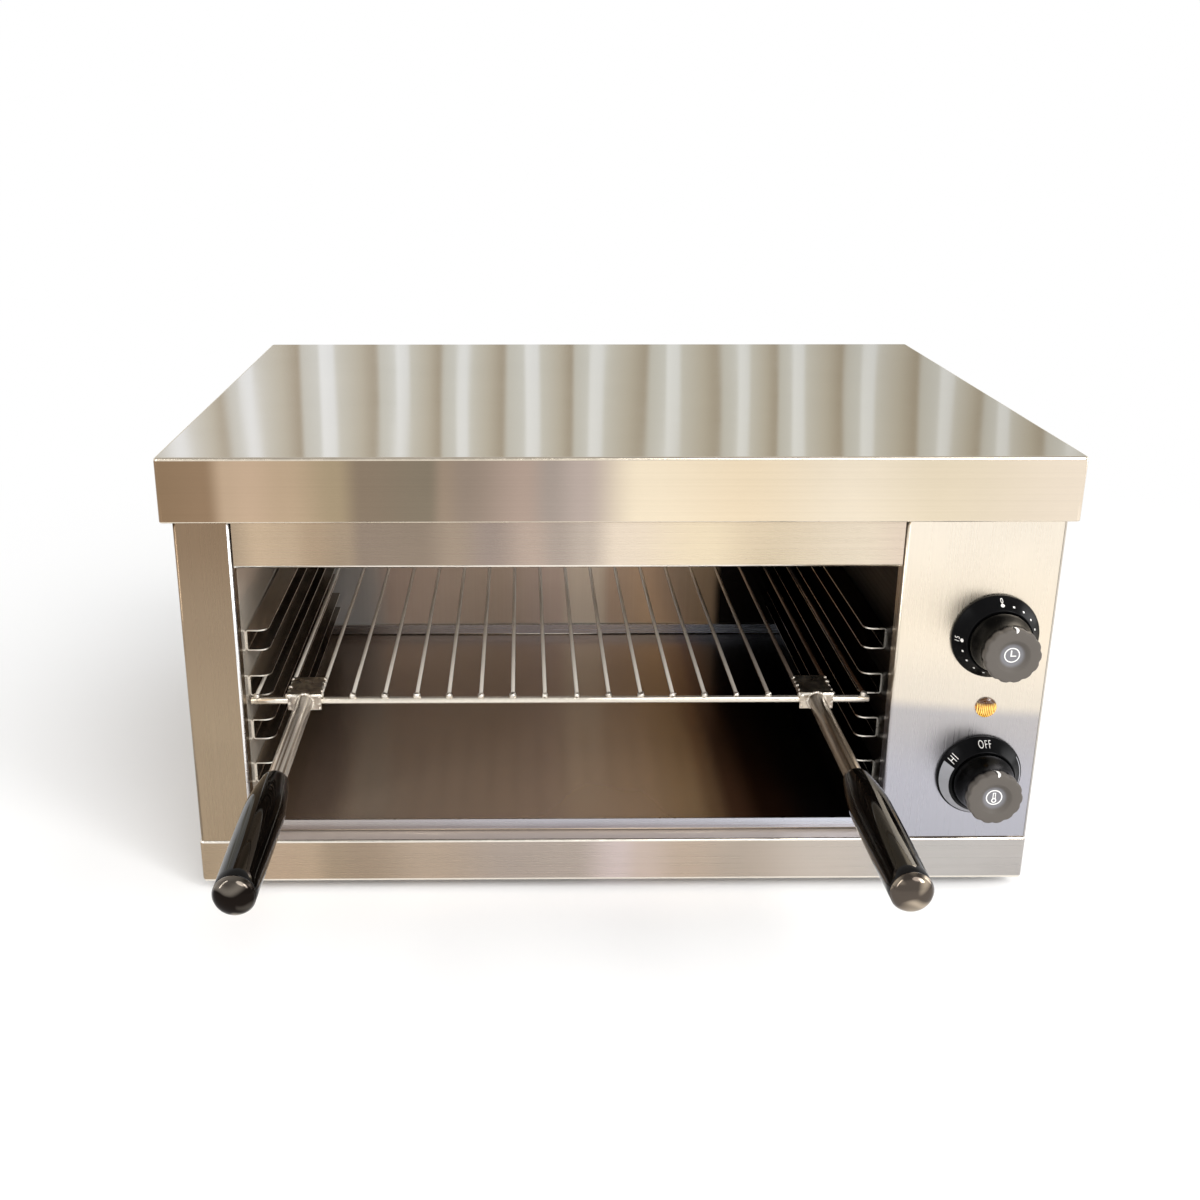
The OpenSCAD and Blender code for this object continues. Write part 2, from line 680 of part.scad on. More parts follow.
module capillary_tube() color("#b87a4b") {
  back = sheet + thermostat_box[1];
  x = cav_r + capillary_out;
  run([[bulb_end, bulb_y, bulb_z], [x - capillary_d, bulb_y, bulb_z],
    [x, bulb_y - 20, bulb_z - 20], [x, back + control_room, thermostat_z + 15],
    [knob_x + 12, back + control_room / 2, thermostat_z + 12],
    [knob_x + 12, back, thermostat_z + 12]], capillary_d);
}

// ---- supply ----

module terminal_block() color("#ece8dc") difference() {
  block([block_x - block_l / 2, block_x + block_l / 2], [block_y, block_y + block_w],
    [deck_z, deck_z + block_h]);
  for (i = [-2 : 2])
    translate([block_x + i * block_pitch, block_y + block_w / 2, deck_z + block_h - 6])
    cylinder(h = 7, d = 6);
}

// Wires from the terminal block to the controls and the elements
module wiring_loom() color("#8c2f24") {
  front = block_y;
  z = deck_z + 8;
  tb = sheet + thermostat_box[1];
  mb = sheet + timer_box[1];
  leg_y = element_y(1) + element_leg_pitch / 2;
  tip = element_end + terminal_d + terminal_l;
  x = [for (i = [-2 : 2]) block_x + i * block_pitch];
  run([[x[0], front, z], [x[0], front - 30, z], [knob_x - 12, tb + 60, thermostat_z - 10],
    [knob_x - 12, tb, thermostat_z - 10]], wire_thick);
  run([[x[1], front, z], [x[1], front - 40, z], [knob_x - 8, mb + 60, timer_z - 10],
    [knob_x - 8, mb, timer_z - 10]], wire_thick);
  run([[x[3], front, z], [x[3], front - 40, z], [knob_x + 8, mb + control_room, timer_z + 10],
    [knob_x + 8, mb, timer_z + 10]], wire_thick);
  run([[x[4], front, z], [x[4], front - 60, z], [knob_x + 22, leg_y, element_z - 40],
    [tip + 10, leg_y, element_z], [tip, leg_y, element_z]], wire_thick);
}

// Nylon gland with the hole for the supply cable right through it
module cable_gland() color("#2c2c2c") translate([gland_x, body_d, gland_z]) difference() {
  union() {
    rod_y([0, 0, 0], 4, gland_d + 8);
    rod_y([0, 4 - eps, 0], gland_out - 8, gland_d + 4);
    translate([0, gland_out - 4 - 2 * eps, 0]) rotate([-90, 0, 0])
      cylinder(h = 4 + 2 * eps, d1 = gland_d + 4, d2 = gland_d - 2);
    rod_y([0, -12, 0], 12 + eps, gland_d);
  }
  rod_y([0, -13, 0], gland_out + 14, cable_bore_d);
}

module gland_nut() color("#3a3a3a") translate([gland_x, body_d - sheet - 5, gland_z])
  rotate([-90, 0, 0]) difference() {
    cylinder(h = 5, d = gland_d + 8, $fn = 6);
    translate([0, 0, -1]) cylinder(h = 7, d = gland_d + 2 * run_gap);
  }

place() base_pan();
place() feet();
place() foot_screws();
place() left_side_panel();
place() right_side_panel();
place() control_panel();
place() header_panel();
place() back_panel();
place() back_screws();
place() top_cover();
place() cover_screws();
place() left_liner();
place() right_liner();
place() rear_liner();
place() ceiling_reflector();
place() insulation_blanket();
place() runner_left(0);  // runner_left_1
place() runner_left(1);  // runner_left_2
place() runner_left(2);  // runner_left_3
place() runner_left(3);  // runner_left_4
place() runner_right(0);  // runner_right_1
place() runner_right(1);  // runner_right_2
place() runner_right(2);  // runner_right_3
place() runner_right(3);  // runner_right_4
place() rack_bars();
place() rack_wires();
place() rack_bracket(-1);  // rack_bracket_left
place() rack_bracket(1);  // rack_bracket_right
place() handle_tube(-1);  // handle_tube_left
place() handle_tube(1);  // handle_tube_right
place() handle_grip(-1);  // handle_grip_left
place() handle_grip(1);  // handle_grip_right
place() handle_cap(-1);  // handle_cap_left
place() handle_cap(1);  // handle_cap_right
place() crumb_tray();
place() heating_element(0);  // heating_element_front
place() heating_element(1);  // heating_element_middle
place() heating_element(2);  // heating_element_rear
place() element_hanger(cav_l + hanger_in);  // element_hanger_left
place() element_hanger(cav_r - hanger_in);  // element_hanger_right
place() element_bushes();
place() element_terminals();
place() bezel(timer_z);  // timer_bezel
place() knob(timer_z);  // timer_knob
place() shaft(timer_z, timer_box);  // timer_shaft
place() control_body(timer_z, timer_box);  // timer_body
place() bezel(thermostat_z);  // thermostat_bezel
place() knob(thermostat_z);  // thermostat_knob
place() shaft(thermostat_z, thermostat_box);  // thermostat_shaft
place() control_body(thermostat_z, thermostat_box);  // thermostat_body
place() control_screws();
place() thermostat_bulb();
place() capillary_tube();
place() pilot_lens();
place() pilot_body();
place() terminal_block();
place() wiring_loom();
place() cable_gland();
place() gland_nut();
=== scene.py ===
import math

import bmesh
import bpy
from mathutils import Matrix, Vector, noise


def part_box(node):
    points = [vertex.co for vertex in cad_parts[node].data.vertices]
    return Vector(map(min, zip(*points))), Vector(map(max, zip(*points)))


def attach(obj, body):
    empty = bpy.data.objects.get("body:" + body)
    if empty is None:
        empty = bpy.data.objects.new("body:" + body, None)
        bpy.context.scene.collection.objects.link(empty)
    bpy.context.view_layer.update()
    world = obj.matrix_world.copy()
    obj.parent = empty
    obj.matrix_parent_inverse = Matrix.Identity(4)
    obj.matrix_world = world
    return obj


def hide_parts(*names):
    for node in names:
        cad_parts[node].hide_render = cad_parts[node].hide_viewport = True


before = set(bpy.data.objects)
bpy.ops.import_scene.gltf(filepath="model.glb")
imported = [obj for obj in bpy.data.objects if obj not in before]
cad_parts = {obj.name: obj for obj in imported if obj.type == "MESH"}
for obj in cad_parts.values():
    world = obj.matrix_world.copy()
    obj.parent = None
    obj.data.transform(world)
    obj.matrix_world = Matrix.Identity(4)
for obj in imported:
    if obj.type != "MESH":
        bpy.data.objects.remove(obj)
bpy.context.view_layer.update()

# ---- camera ----
# The photograph looks down on the front from a little left of the middle. Its frame is 1200 pixels
# square, and the lens axis meets it left of its centre.
mm = 0.001
photo_side, focal_pixels, axis_pixel_x = 1200, 1372.6, 537.6
eye = Vector((-64.4, -973.4, 527.8)) * mm
look_down, look_right, tilt = 0.3439, 0.0117, 0.0012

camera = bpy.data.objects.new("camera", bpy.data.cameras.new("camera"))
bpy.context.collection.objects.link(camera)
camera.data.sensor_width = 36
camera.data.lens = camera.data.sensor_width * focal_pixels / photo_side
camera.data.shift_x = 0.5 - axis_pixel_x / photo_side
camera.data.clip_start = 0.02
gaze = Vector((math.sin(look_right) * math.cos(look_down),
               math.cos(look_right) * math.cos(look_down), -math.sin(look_down)))
camera.matrix_world = (Matrix.Translation(eye) @ gaze.to_track_quat("-Z", "Y").to_matrix().to_4x4()
                       @ Matrix.Rotation(tilt, 4, "Z"))
bpy.context.scene.camera = camera
bpy.context.scene.view_settings.view_transform = "Standard"


# ---- floor and light ----
# A plain white floor that keeps the shadow, a soft sun lamp from the front right, and a pale
# surround that is white round the horizon and dimmer overhead, so that steel has something to show.
def linear(hex_colour):
    """An sRGB hex colour as the linear numbers that a shader takes."""
    parts = [int(hex_colour[i:i + 2], 16) / 255 for i in (1, 3, 5)]
    return tuple(c / 12.92 if c <= 0.04045 else ((c + 0.055) / 1.055) ** 2.4 for c in parts) + (1,)


def feed(node, inputs):
    """Sets inputs, by name or in their order, to plain values or to other nodes' sockets."""
    for key, value in inputs.items() if isinstance(inputs, dict) else enumerate(inputs):
        if isinstance(value, bpy.types.NodeSocket):
            node.id_data.links.new(value, node.inputs[key])
        else:
            node.inputs[key].default_value = value


def add_node(tree, kind, inputs=(), out=0, stops=(), **settings):
    """Adds a shader node, or another kind by its whole name, and returns one of its outputs;
    stops are the (position, colour) pairs of a colour ramp."""
    node = tree.nodes.new(kind if "Node" in kind else "ShaderNode" + kind)
    for key, value in settings.items():
        setattr(node, key, value)
    feed(node, inputs)
    if stops:
        elements = node.color_ramp.elements
        while len(elements) < len(stops):
            elements.new(0.5)
        for element, (position, _) in zip(elements, stops):
            element.position = position
        for element, (_, colour) in zip(elements, stops):
            element.color = linear(colour)
    return node.outputs[out]


def new_material(name):
    """A material, its node tree, its shader and the object's own coordinates."""
    material = bpy.data.materials.new(name)
    material.use_nodes = True
    tree = material.node_tree
    return material, tree, tree.nodes["Principled BSDF"], add_node(tree, "TexCoord", out="Object")


def piece_from(shape, name, *materials):
    """The object that a bmesh makes, in the scene, at the origin."""
    mesh = bpy.data.meshes.new(name)
    shape.to_mesh(mesh)
    shape.free()
    for material in materials:
        mesh.materials.append(material)
    piece = bpy.data.objects.new(name, mesh)
    bpy.context.collection.objects.link(piece)
    return piece


def backdrop(name, material, corners):
    """A flat sheet of the set, which is no part of the object."""
    shape = bmesh.new()
    shape.faces.new([shape.verts.new(corner) for corner in corners])
    sheet = piece_from(shape, name, material)
    return sheet


# past the object's shadow the floor is plain white up to the horizon
floor_half, shadow_end, white_from = 30, 0.5, 1.3
floor_white, tree, shader, place = new_material("matt_white_floor")
feed(shader, {"Base Color": (0.94, 0.94, 0.94, 1), "Roughness": 1, "Specular IOR Level": 0})
away = add_node(tree, "VectorMath", (place,), "Value", operation="LENGTH")
far = add_node(tree, "MapRange", (away, shadow_end, white_from), interpolation_type="SMOOTHSTEP")
white = add_node(tree, "Emission")
mixed = add_node(tree, "MixShader", (far, shader.outputs[0], white))
feed(tree.nodes["Material Output"], {"Surface": mixed})
backdrop("floor", floor_white, [(x * floor_half, y * floor_half, 0)
                                for x, y in ((-1, -1), (1, -1), (1, 1), (-1, 1))])

world = bpy.data.worlds.new("pale_surround")
bpy.context.scene.world = world
world.use_nodes = True
tree = world.node_tree
height = add_node(tree, "SeparateXYZ", (add_node(tree, "TexCoord", out="Generated"),), "Z")
overhead = add_node(tree, "MapRange", (height, 0.4, 0.8), interpolation_type="SMOOTHSTEP")
surround = add_node(tree, "Mix", {"Factor": overhead, "A": (1, 1, 1, 1),
                                  "B": (0.55, 0.55, 0.55, 1)}, 2, data_type="RGBA")
feed(tree.nodes["Background"], {"Color": surround})

# a pleated white curtain far behind the object, kept out of the camera's own sight, so that the
# polish of the cover has soft upright folds to mirror
curtain_y, curtain_half, curtain_foot, curtain_top, pleat_wide = 4.0, 3.2, 0.45, 2.2, 0.254
pleats, tree, shader, place = new_material("pleated_white_curtain")
spot = add_node(tree, "Mapping", {"Vector": place, "Scale": (1.8, 0, 0.6)})
drift = add_node(tree, "TexNoise", {"Vector": spot, "Scale": 1.0, "Detail": 1.0})
turns = add_node(tree, "Math", (add_node(tree, "SeparateXYZ", (place,), "X"), 1 / pleat_wide,
                                drift), operation="MULTIPLY_ADD")
phase = add_node(tree, "Math", (turns,), operation="FRACT")
pleat = add_node(tree, "ValToRGB", (phase,), stops=[
    (0.0, "#bcb19e"), (0.05, "#dad8ce"), (0.26, "#e2e2db"), (0.30, "#fdfffe"), (0.46, "#f7f9f8"),
    (0.51, "#dfddd3"), (0.80, "#cec7b6"), (0.97, "#b8ad99")])
higher = add_node(tree, "MapRange", (add_node(tree, "SeparateXYZ", (place,), "Z"), 0.8, 1.4, 1.0,
                                     1.25))
glow = add_node(tree, "Emission", {"Color": pleat, "Strength": higher})
feed(tree.nodes["Material Output"], {"Surface": glow})
curtain = backdrop("curtain", pleats, [
    (-curtain_half, curtain_y, curtain_foot), (curtain_half, curtain_y, curtain_foot),
    (curtain_half, curtain_y, curtain_top), (-curtain_half, curtain_y, curtain_top)])
curtain.visible_camera = curtain.visible_shadow = False


def hang_lamp(name, kind, place, target, power, **settings):
    """A lamp at place that looks at target."""
    lamp = bpy.data.objects.new(name, bpy.data.lights.new(name, kind))
    lamp.data.energy = power
    for key, value in settings.items():
        setattr(lamp.data, key, value)
    lamp.location = place
    lamp.rotation_euler = (Vector(place) - Vector(target)).to_track_quat("Z", "Y").to_euler()
    bpy.context.collection.objects.link(lamp)


hang_lamp("soft_sun", "SUN", (0.5, -0.75, 0.8), (0, 0, 0), 1.4, angle=math.radians(38))
# soft boxes that draw clean streaks and patches on gloss and polish
for name, place, target, wide, tall, watts in (
        ("strip_left", (-1.3, -1.1, 0.9), (-0.2, -0.3, 0.1), 0.22, 1.3, 7),
        ("window_right", (1.1, -1.3, 0.9), (0.2, -0.3, 0.1), 0.45, 0.7, 10),
        ("strip_side", (1.7, 0.1, 0.55), (0.25, -0.12, 0.15), 0.5, 0.9, 5)):
    hang_lamp(name, "AREA", place, target, watts, shape="RECTANGLE", size=wide, size_y=tall)


# ---- base box ----
# The base is one sheet of brushed stainless, folded down all round and in again under its edge.
# Its bends are painted near white as a painted highlight, and its bands are painted reflections.
def across(tree, place, tones, axis="X", wander=0.006):
    """A sheet's tone drifting along one axis; tones are (metres, colour) pairs."""
    along = add_node(tree, "SeparateXYZ", (place,), axis)
    blur = add_node(tree, "TexNoise", {"Vector": place, "Scale": 7.0})
    moved = add_node(tree, "Math", (blur, 2 * wander, along), operation="MULTIPLY_ADD")
    first, last = tones[0][0], tones[-1][0]
    share = add_node(tree, "MapRange", (moved, first + wander, last + wander))
    tone = add_node(tree, "ValToRGB", (share,), stops=[
        ((metres - first) / (last - first), colour) for metres, colour in tones])
    tone.node.color_ramp.interpolation = "EASE"
    return tone


def brushed_stainless(name, tone, hairs=(3, 900, 900), brush_axis=(1, 0.02, 0), rough=0.27,
                      spread=0.6, depth=0.05, contrast=0.035, metal=1.0, swing=0.045):
    """Sheet with the hairlines of a belt brush: hairs gives the grain's scale a metre each way, so
    it is long along the brushing and about a millimetre across, as fine as the picture shows."""
    material, tree, shader, place = new_material(name)
    grain = add_node(tree, "Mapping", {"Vector": place, "Scale": hairs})
    hair = add_node(tree, "TexNoise", {"Vector": grain, "Scale": 1.0, "Detail": 3.0,
                                       "Roughness": 0.65})
    cloud = add_node(tree, "TexNoise", {"Vector": place, "Scale": 11.0, "Detail": 3.0,
                                        "Distortion": 0.4})
    streak = add_node(tree, "MapRange", (hair, 0.3, 0.7, 1 - contrast, 1 + contrast * 0.5))
    wear = add_node(tree, "MapRange", (cloud, 0.3, 0.7, 0.96, 1.02))
    shade = add_node(tree, "Math", (streak, wear), operation="MULTIPLY")
    polish = add_node(tree, "MapRange", (hair, 0.3, 0.7, rough - swing, rough + swing))
    smear = add_node(tree, "MapRange", (cloud, 0.35, 0.75, 0.0, rough * 0.18))
    facing = add_node(tree, "NewGeometry", out="Normal")
    athwart = add_node(tree, "VectorMath", (facing, brush_axis), operation="CROSS_PRODUCT")
    feed(shader, {
        "Base Color": add_node(tree, "VectorMath", {0: tone(tree, place), "Scale": shade},
                               operation="SCALE"),
        "Metallic": metal, "Anisotropic": spread,
        "Roughness": add_node(tree, "Math", (polish, smear), operation="ADD"),
        "Normal": add_node(tree, "Bump", {"Height": hair, "Strength": depth, "Distance": 0.0002}),
        "Tangent": add_node(tree, "VectorMath", (athwart,), operation="NORMALIZE")})
    return material


def clouded(tree, place, colour, cloud, least, most):
    """A hex colour that a cloud makes lighter and darker, or else a tone function's colour."""
    if callable(colour):
        return colour(tree, place)
    share = add_node(tree, "MapRange", (cloud, 0.3, 0.7, least, most))
    return add_node(tree, "VectorMath", {0: linear(colour)[:3], "Scale": share}, operation="SCALE")


def polished_steel(name, colour, rough=0.16, mottle=0.05, scale=260.0, depth=0.05, metal=1.0):
    """Bright steel with no grain: bends, plated wire and tube, with faint handling marks."""
    material, tree, shader, place = new_material(name)
    marks = add_node(tree, "TexNoise", {"Vector": place, "Scale": scale, "Detail": 3.0})
    feed(shader, {
        "Base Color": clouded(tree, place, colour, marks, 1 - mottle, 1.0), "Metallic": metal,
        "Roughness": add_node(tree, "MapRange", (marks, 0.3, 0.7, rough * 0.8, rough * 1.3)),
        "Normal": add_node(tree, "Bump", {"Height": marks, "Strength": depth,
                                          "Distance": 0.0002})})
    return material


def base_painted_reflection(tree, place):
    """Painted reflections in soft upright bands: tan at the left, mauve in the middle, pale warm
    grey at the right.
    """
    return across(tree, place, [
        (-0.30, "#a18f77"), (-0.235, "#baa48d"), (-0.218, "#b7a28b"), (-0.200, "#a5937e"),
        (-0.180, "#a2907d"), (-0.130, "#b6a492"), (-0.07, "#afa298"), (-0.03, "#b6a99f"),
        (0.004, "#d3c4c0"), (0.022, "#cdbcb1"), (0.05, "#c1af9e"), (0.091, "#b6a99c"),
        (0.15, "#c0b6ac"), (0.233, "#b6b2ae"), (0.30, "#b2ada9")], wander=0.004)


base_steel = brushed_stainless("brushed_stainless_base", base_painted_reflection)
# painted highlight: the bends are painted near white so that they show as light lines
bend_highlight = polished_steel("press_polished_bend", "#efe8dc", rough=0.2)
# cut edges: pale as bare sheared metal, and lighter than the faces as a painted highlight
cut_edge_highlight = polished_steel("sheared_edge", "#cfc8bd", rough=0.34, mottle=0.15)
base_top = polished_steel("scuffed_base_top", "#b8aca4", rough=0.4, metal=0.45)
sheet = 1 * mm
half = sheet / 2


def fixed_to(piece, body, slot, *nodes):
    """Attaches a piece to its body and hides the CAD nodes that it stands for; slot is not used."""
    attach(piece, body)
    if nodes:
        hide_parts(*nodes)


def folded_box(low, high, bend, corner, rim, rim_bend):
    """A box of sheet that is open below, with its bottom edge folded in by rim along X and Y.
    Rounded rectangles follow one another down the outside, round the edge and up the inside.
    Material 0 is the flat sheet, 1 the folds and 2 the cut edge."""
    shape = bmesh.new()
    middle, half_size = (low + high) / 2, (high - low) / 2
    steps = 4

    def ring(inset_x, inset_y, z):
        radius = max(corner - max(inset_x, inset_y), 0.4 * mm)
        verts = []
        for quarter, (side_x, side_y) in enumerate(((1, 1), (-1, 1), (-1, -1), (1, -1))):
            for i in range(steps + 1):
                a = math.pi / 2 * (quarter + i / steps)
                verts.append(shape.verts.new((
                    middle.x + side_x * (half_size.x - inset_x - radius) + radius * math.cos(a),
                    middle.y + side_y * (half_size.y - inset_y - radius) + radius * math.sin(a),
                    z)))
        return verts

    def fold(radius, inset, z, at_top, upwards):
        stations = []
        for i in range(steps + 1):
            a = math.pi / 2 * (1 - i / steps if upwards else i / steps)
            out, up = (math.sin(a), math.cos(a)) if at_top else (math.cos(a), math.sin(a))
            reach, rise = inset + radius * (1 - out), radius * (1 - up)
            stations.append((reach, reach, z - rise if at_top else z + rise, int(i > 0)))
        return stations

    outline = (fold(bend, 0, high.z, True, False) + fold(rim_bend, 0, low.z, False, False)
               + [(*rim, low.z, 0), (*rim, low.z + sheet, 2)]
               + fold(max(rim_bend - sheet, 0.3 * mm), sheet, low.z + sheet, False, True)
               + fold(max(bend - sheet, 0.3 * mm), sheet, high.z - sheet, True, True))
    rings = [ring(*station[:3]) for station in outline]
    count = len(rings[0])
    for above, below, station in zip(rings, rings[1:], outline[1:]):
        for i in range(count):
            j = (i + 1) % count
            face = shape.faces.new((above[i], above[j], below[j], below[i]))
            face.material_index = station[3]
            face.smooth = station[3] == 1 or i % (steps + 1) < steps
    for end in (rings[0], rings[-1]):
        shape.faces.new(end)
    bmesh.ops.recalc_face_normals(shape, faces=shape.faces)
    return shape


low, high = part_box("base_pan")
shape = folded_box(low, high, 1.6 * mm, 3 * mm, rim=(60 * mm, 20 * mm), rim_bend=2.4 * mm)
for face in shape.faces:
    if face.calc_center_median().z > high.z - 0.01 * mm:
        face.material_index = 3
fixed_to(piece_from(shape, "base_box", base_steel, bend_highlight, cut_edge_highlight, base_top), "cabinet",
         "base_steel", "base_pan")


# ---- feet ----
# Four moulded rubber feet, each drawn up by a plated screw that sits deep in its recess.
def placer(origin, *ways):
    """A rule that puts a form's own u, v and h, in millimetres, into the frame; ways are the
    frame's directions that they follow."""
    def place(u, v, h):
        return Vector(o + mm * (u * a + v * b + h * c) for o, a, b, c in zip(origin, *ways))
    return place


def turned(profile, place, steps=48, rule=None, closed=False, shape=None):
    """Adds a turned form: profile is (radius, height) from one end to the other, place puts
    (u, v, height) in the frame, and rule may change the radius round the form."""
    shape = bmesh.new() if shape is None else shape
    rings = []
    for r, h in profile:
        if r == 0:
            rings.append([shape.verts.new(place(0, 0, h))])
            continue
        ring = []
        for i in range(steps):
            a = 2 * math.pi * i / steps
            reach = rule(r, h, a) if rule else r
            ring.append(shape.verts.new(place(reach * math.cos(a), reach * math.sin(a), h)))
        rings.append(ring)
    if closed:
        rings.append(rings[0])
    faces = []
    for first, second in zip(rings, rings[1:]):
        for i in range(steps):
            j = (i + 1) % steps
            corners = [first[i % len(first)], first[j % len(first)],
                       second[j % len(second)], second[i % len(second)]]
            unique = list(dict.fromkeys(corners))
            if len(unique) > 2:
                faces.append(shape.faces.new(unique))
    for face in faces:
        face.smooth = True
    bmesh.ops.recalc_face_normals(shape, faces=faces)
    return shape


def copies_tree():
    """Geometry Nodes that set copies of a part on every point of a mesh."""
    tree = bpy.data.node_groups.new("copies_on_points", "GeometryNodeTree")
    for name, kind in (("Points", "Geometry"), ("Part", "Object"), ("Size spread", "Float"),
                       ("Turn spread", "Vector"), ("Seed", "Int"), ("Finish", "Material")):
        tree.interface.new_socket(name, in_out="INPUT", socket_type="NodeSocket" + kind)
    tree.interface.new_socket("Copies", in_out="OUTPUT", socket_type="NodeSocketGeometry")
    given = tree.nodes.new("NodeGroupInput").outputs
    part = add_node(tree, "GeometryNodeObjectInfo", {"Object": given["Part"]}, "Geometry")
    least, most = (add_node(tree, "Math", (1.0, given["Size spread"]), operation=operation)
                   for operation in ("SUBTRACT", "ADD"))
    back = add_node(tree, "VectorMath", {0: given["Turn spread"], "Scale": -1.0},
                    operation="SCALE")
    size, turn = (add_node(tree, "FunctionNodeRandomValue", {"Min": start, "Max": end,
                           "Seed": given["Seed"]}, "Value", data_type="FLOAT_VECTOR")
                  for start, end in ((least, most), (back, given["Turn spread"])))
    placed = add_node(tree, "GeometryNodeInstanceOnPoints", {
        "Points": given["Points"], "Instance": part, "Rotation": turn, "Scale": size})
    real = add_node(tree, "GeometryNodeRealizeInstances", {"Geometry": placed})
    done = add_node(tree, "GeometryNodeSetMaterial", {"Geometry": real,
                                                      "Material": given["Finish"]})
    feed(tree.nodes.new("NodeGroupOutput"), (done,))
    return tree


copies = copies_tree()


def finished(piece):
    """The same piece with its modifiers worked into a plain mesh."""
    bpy.context.view_layer.update()
    graph = bpy.context.evaluated_depsgraph_get()
    mesh = bpy.data.meshes.new_from_object(piece.evaluated_get(graph), depsgraph=graph)
    mesh.name = piece.name
    piece.modifiers.clear()
    piece.data = mesh
    return piece


def copies_at(name, part, places, material, size_spread=0.0, turn_spread=(0, 0, 0), seed=1):
    """One piece that holds a copy of a bmesh part at every place."""
    template = piece_from(part, name + "_part")
    points = bmesh.new()
    for place in places:
        points.verts.new(place)
    piece = piece_from(points, name, material)
    setter = piece.modifiers.new("copies", "NODES")
    setter.node_group = copies
    given = {"Part": template, "Size spread": size_spread, "Turn spread": turn_spread,
             "Seed": seed, "Finish": material}
    for item in copies.interface.items_tree:
        if item.name in given:
            setter[item.identifier] = given[item.name]
    finished(piece)
    bpy.data.objects.remove(template)
    return piece


def moulded(name, colour, rough, grain=900.0, depth=0.15, ior=1.49, mottle=0.12, coat=0.0,
            glint=0.5):
    """Moulded plastic or rubber: one colour with the fine uneven skin that the mould leaves."""
    material, tree, shader, place = new_material(name)
    skin = add_node(tree, "TexNoise", {"Vector": place, "Scale": grain, "Detail": 2.0})
    cloud = add_node(tree, "TexNoise", {"Vector": place, "Scale": 60.0})
    feed(shader, {
        "Base Color": clouded(tree, place, colour, cloud, 1 - mottle, 1 + mottle),
        "IOR": ior, "Coat Weight": coat, "Specular IOR Level": glint,
        "Roughness": add_node(tree, "MapRange", (cloud, 0.3, 0.7, rough * 0.85, rough * 1.15)),
        "Normal": add_node(tree, "Bump", {"Height": skin, "Strength": depth,
                                          "Distance": 0.0001})})
    return material


right, rearward, forward, upward = (1, 0, 0), (0, 1, 0), (0, -1, 0), (0, 0, 1)
low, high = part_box("feet")
foot_r, foot_h = 15, high.z / mm
foot_x, foot_front, foot_rear = high.x - foot_r * mm, low.y + foot_r * mm, high.y - foot_r * mm
shape = turned([(5.5, 0.2), (5.8, 0), (foot_r - 2.4, 0), (foot_r - 1.6, 0.5),
                (foot_r - 1.4, 1.4), (foot_r - 0.5, foot_h - 1), (foot_r - 0.3, foot_h - 0.3),
                (foot_r - 0.8, foot_h), (2.6, foot_h), (2.6, foot_h - 3), (5.5, foot_h - 3)],
               placer((0, 0, 0), right, rearward, upward), closed=True)
rubber = moulded("moulded_rubber", "#1b1a19", 0.62, grain=700.0, depth=0.3)
foot_places = [(x, y, 0) for x in (-foot_x, foot_x) for y in (foot_front, foot_rear)]
fixed_to(copies_at("rubber_feet", shape, foot_places, rubber), "cabinet", "foot_rubber", "feet")


def dress(material, *nodes):
    """Gives CAD nodes whose shape is right their finish."""
    for node in nodes:
        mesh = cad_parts[node].data
        mesh.materials.clear()
        mesh.materials.append(material)


zinc = polished_steel("zinc_plated_steel", "#b4b4ae", rough=0.3, mottle=0.18, scale=500.0)
dress(zinc, "foot_screws")


# ---- left side and front post ----
# One sheet makes the left side, the front post and the return beside the opening. The inner bend
# of the post is painted pure white as a painted highlight, which shows as a white line down the
# opening.
def bent_line(points, bend):
    """Stations (point, direction, in a bend) along a folded sheet's middle line."""
    stations = [(Vector(points[0]), (Vector(points[1]) - Vector(points[0])).normalized(), False)]
    steps = 5
    for before, corner, after in zip(points, points[1:], points[2:]):
        corner = Vector(corner)
        come = (corner - Vector(before)).normalized()
        leave = (Vector(after) - corner).normalized()
        turn = math.atan2(come.cross(leave), come.dot(leave))
        side = Vector((-come.y, come.x)) * math.copysign(1, turn)
        start = corner - come * bend * math.tan(abs(turn) / 2)
        centre = start + side * bend
        for i in range(steps + 1):
            spin = Matrix.Rotation(turn * i / steps, 2)
            stations.append((centre + spin @ (start - centre), spin @ come, i < steps))
    last = Vector(points[-1])
    stations.append((last, (last - Vector(points[-2])).normalized(), False))
    return stations


def flat_plan(u, v, w):
    return Vector((u, v, w))


def folded_strip(shape, points, span, place=flat_plan, bend=1.5 * mm, sheet=sheet):
    """Adds a sheet folded along a flat path: place puts (u, v, w) in the frame, and span is its
    reach along w. Material 0 is the flat sheet, 1 the bends and 2 the cut edges."""
    stations = bent_line(points, bend)
    rows = []
    for point, way, in_bend in stations:
        aside = Vector((-way.y, way.x)) * sheet / 2
        rows.append([shape.verts.new(place(*(point + aside * side), w))
                     for side in (-1, 1) for w in span])
    made = []
    for (a, b, (point, way, in_bend)) in zip(rows, rows[1:], stations):
        for i, j, material in ((0, 1, 0), (2, 3, 0), (0, 2, 2), (1, 3, 2)):
            face = shape.faces.new((a[i], a[j], b[j], b[i]))
            face.smooth = in_bend and material == 0
            face.material_index = material or int(in_bend)
            made.append(face)
    for row in (rows[0], rows[-1]):
        face = shape.faces.new((row[0], row[1], row[3], row[2]))
        face.material_index = 2
        made.append(face)
    bmesh.ops.recalc_face_normals(shape, faces=made)


def body_painted_reflection(tree, place):
    """Painted reflection: the left of the cabinet is tan, a little lighter towards the floor."""
    return across(tree, place, [(0.04, "#a18e76"), (0.12, "#9b8972"), (0.20, "#94816b"),
                                (0.27, "#8d7760"), (0.32, "#8b7158")], axis="Z")


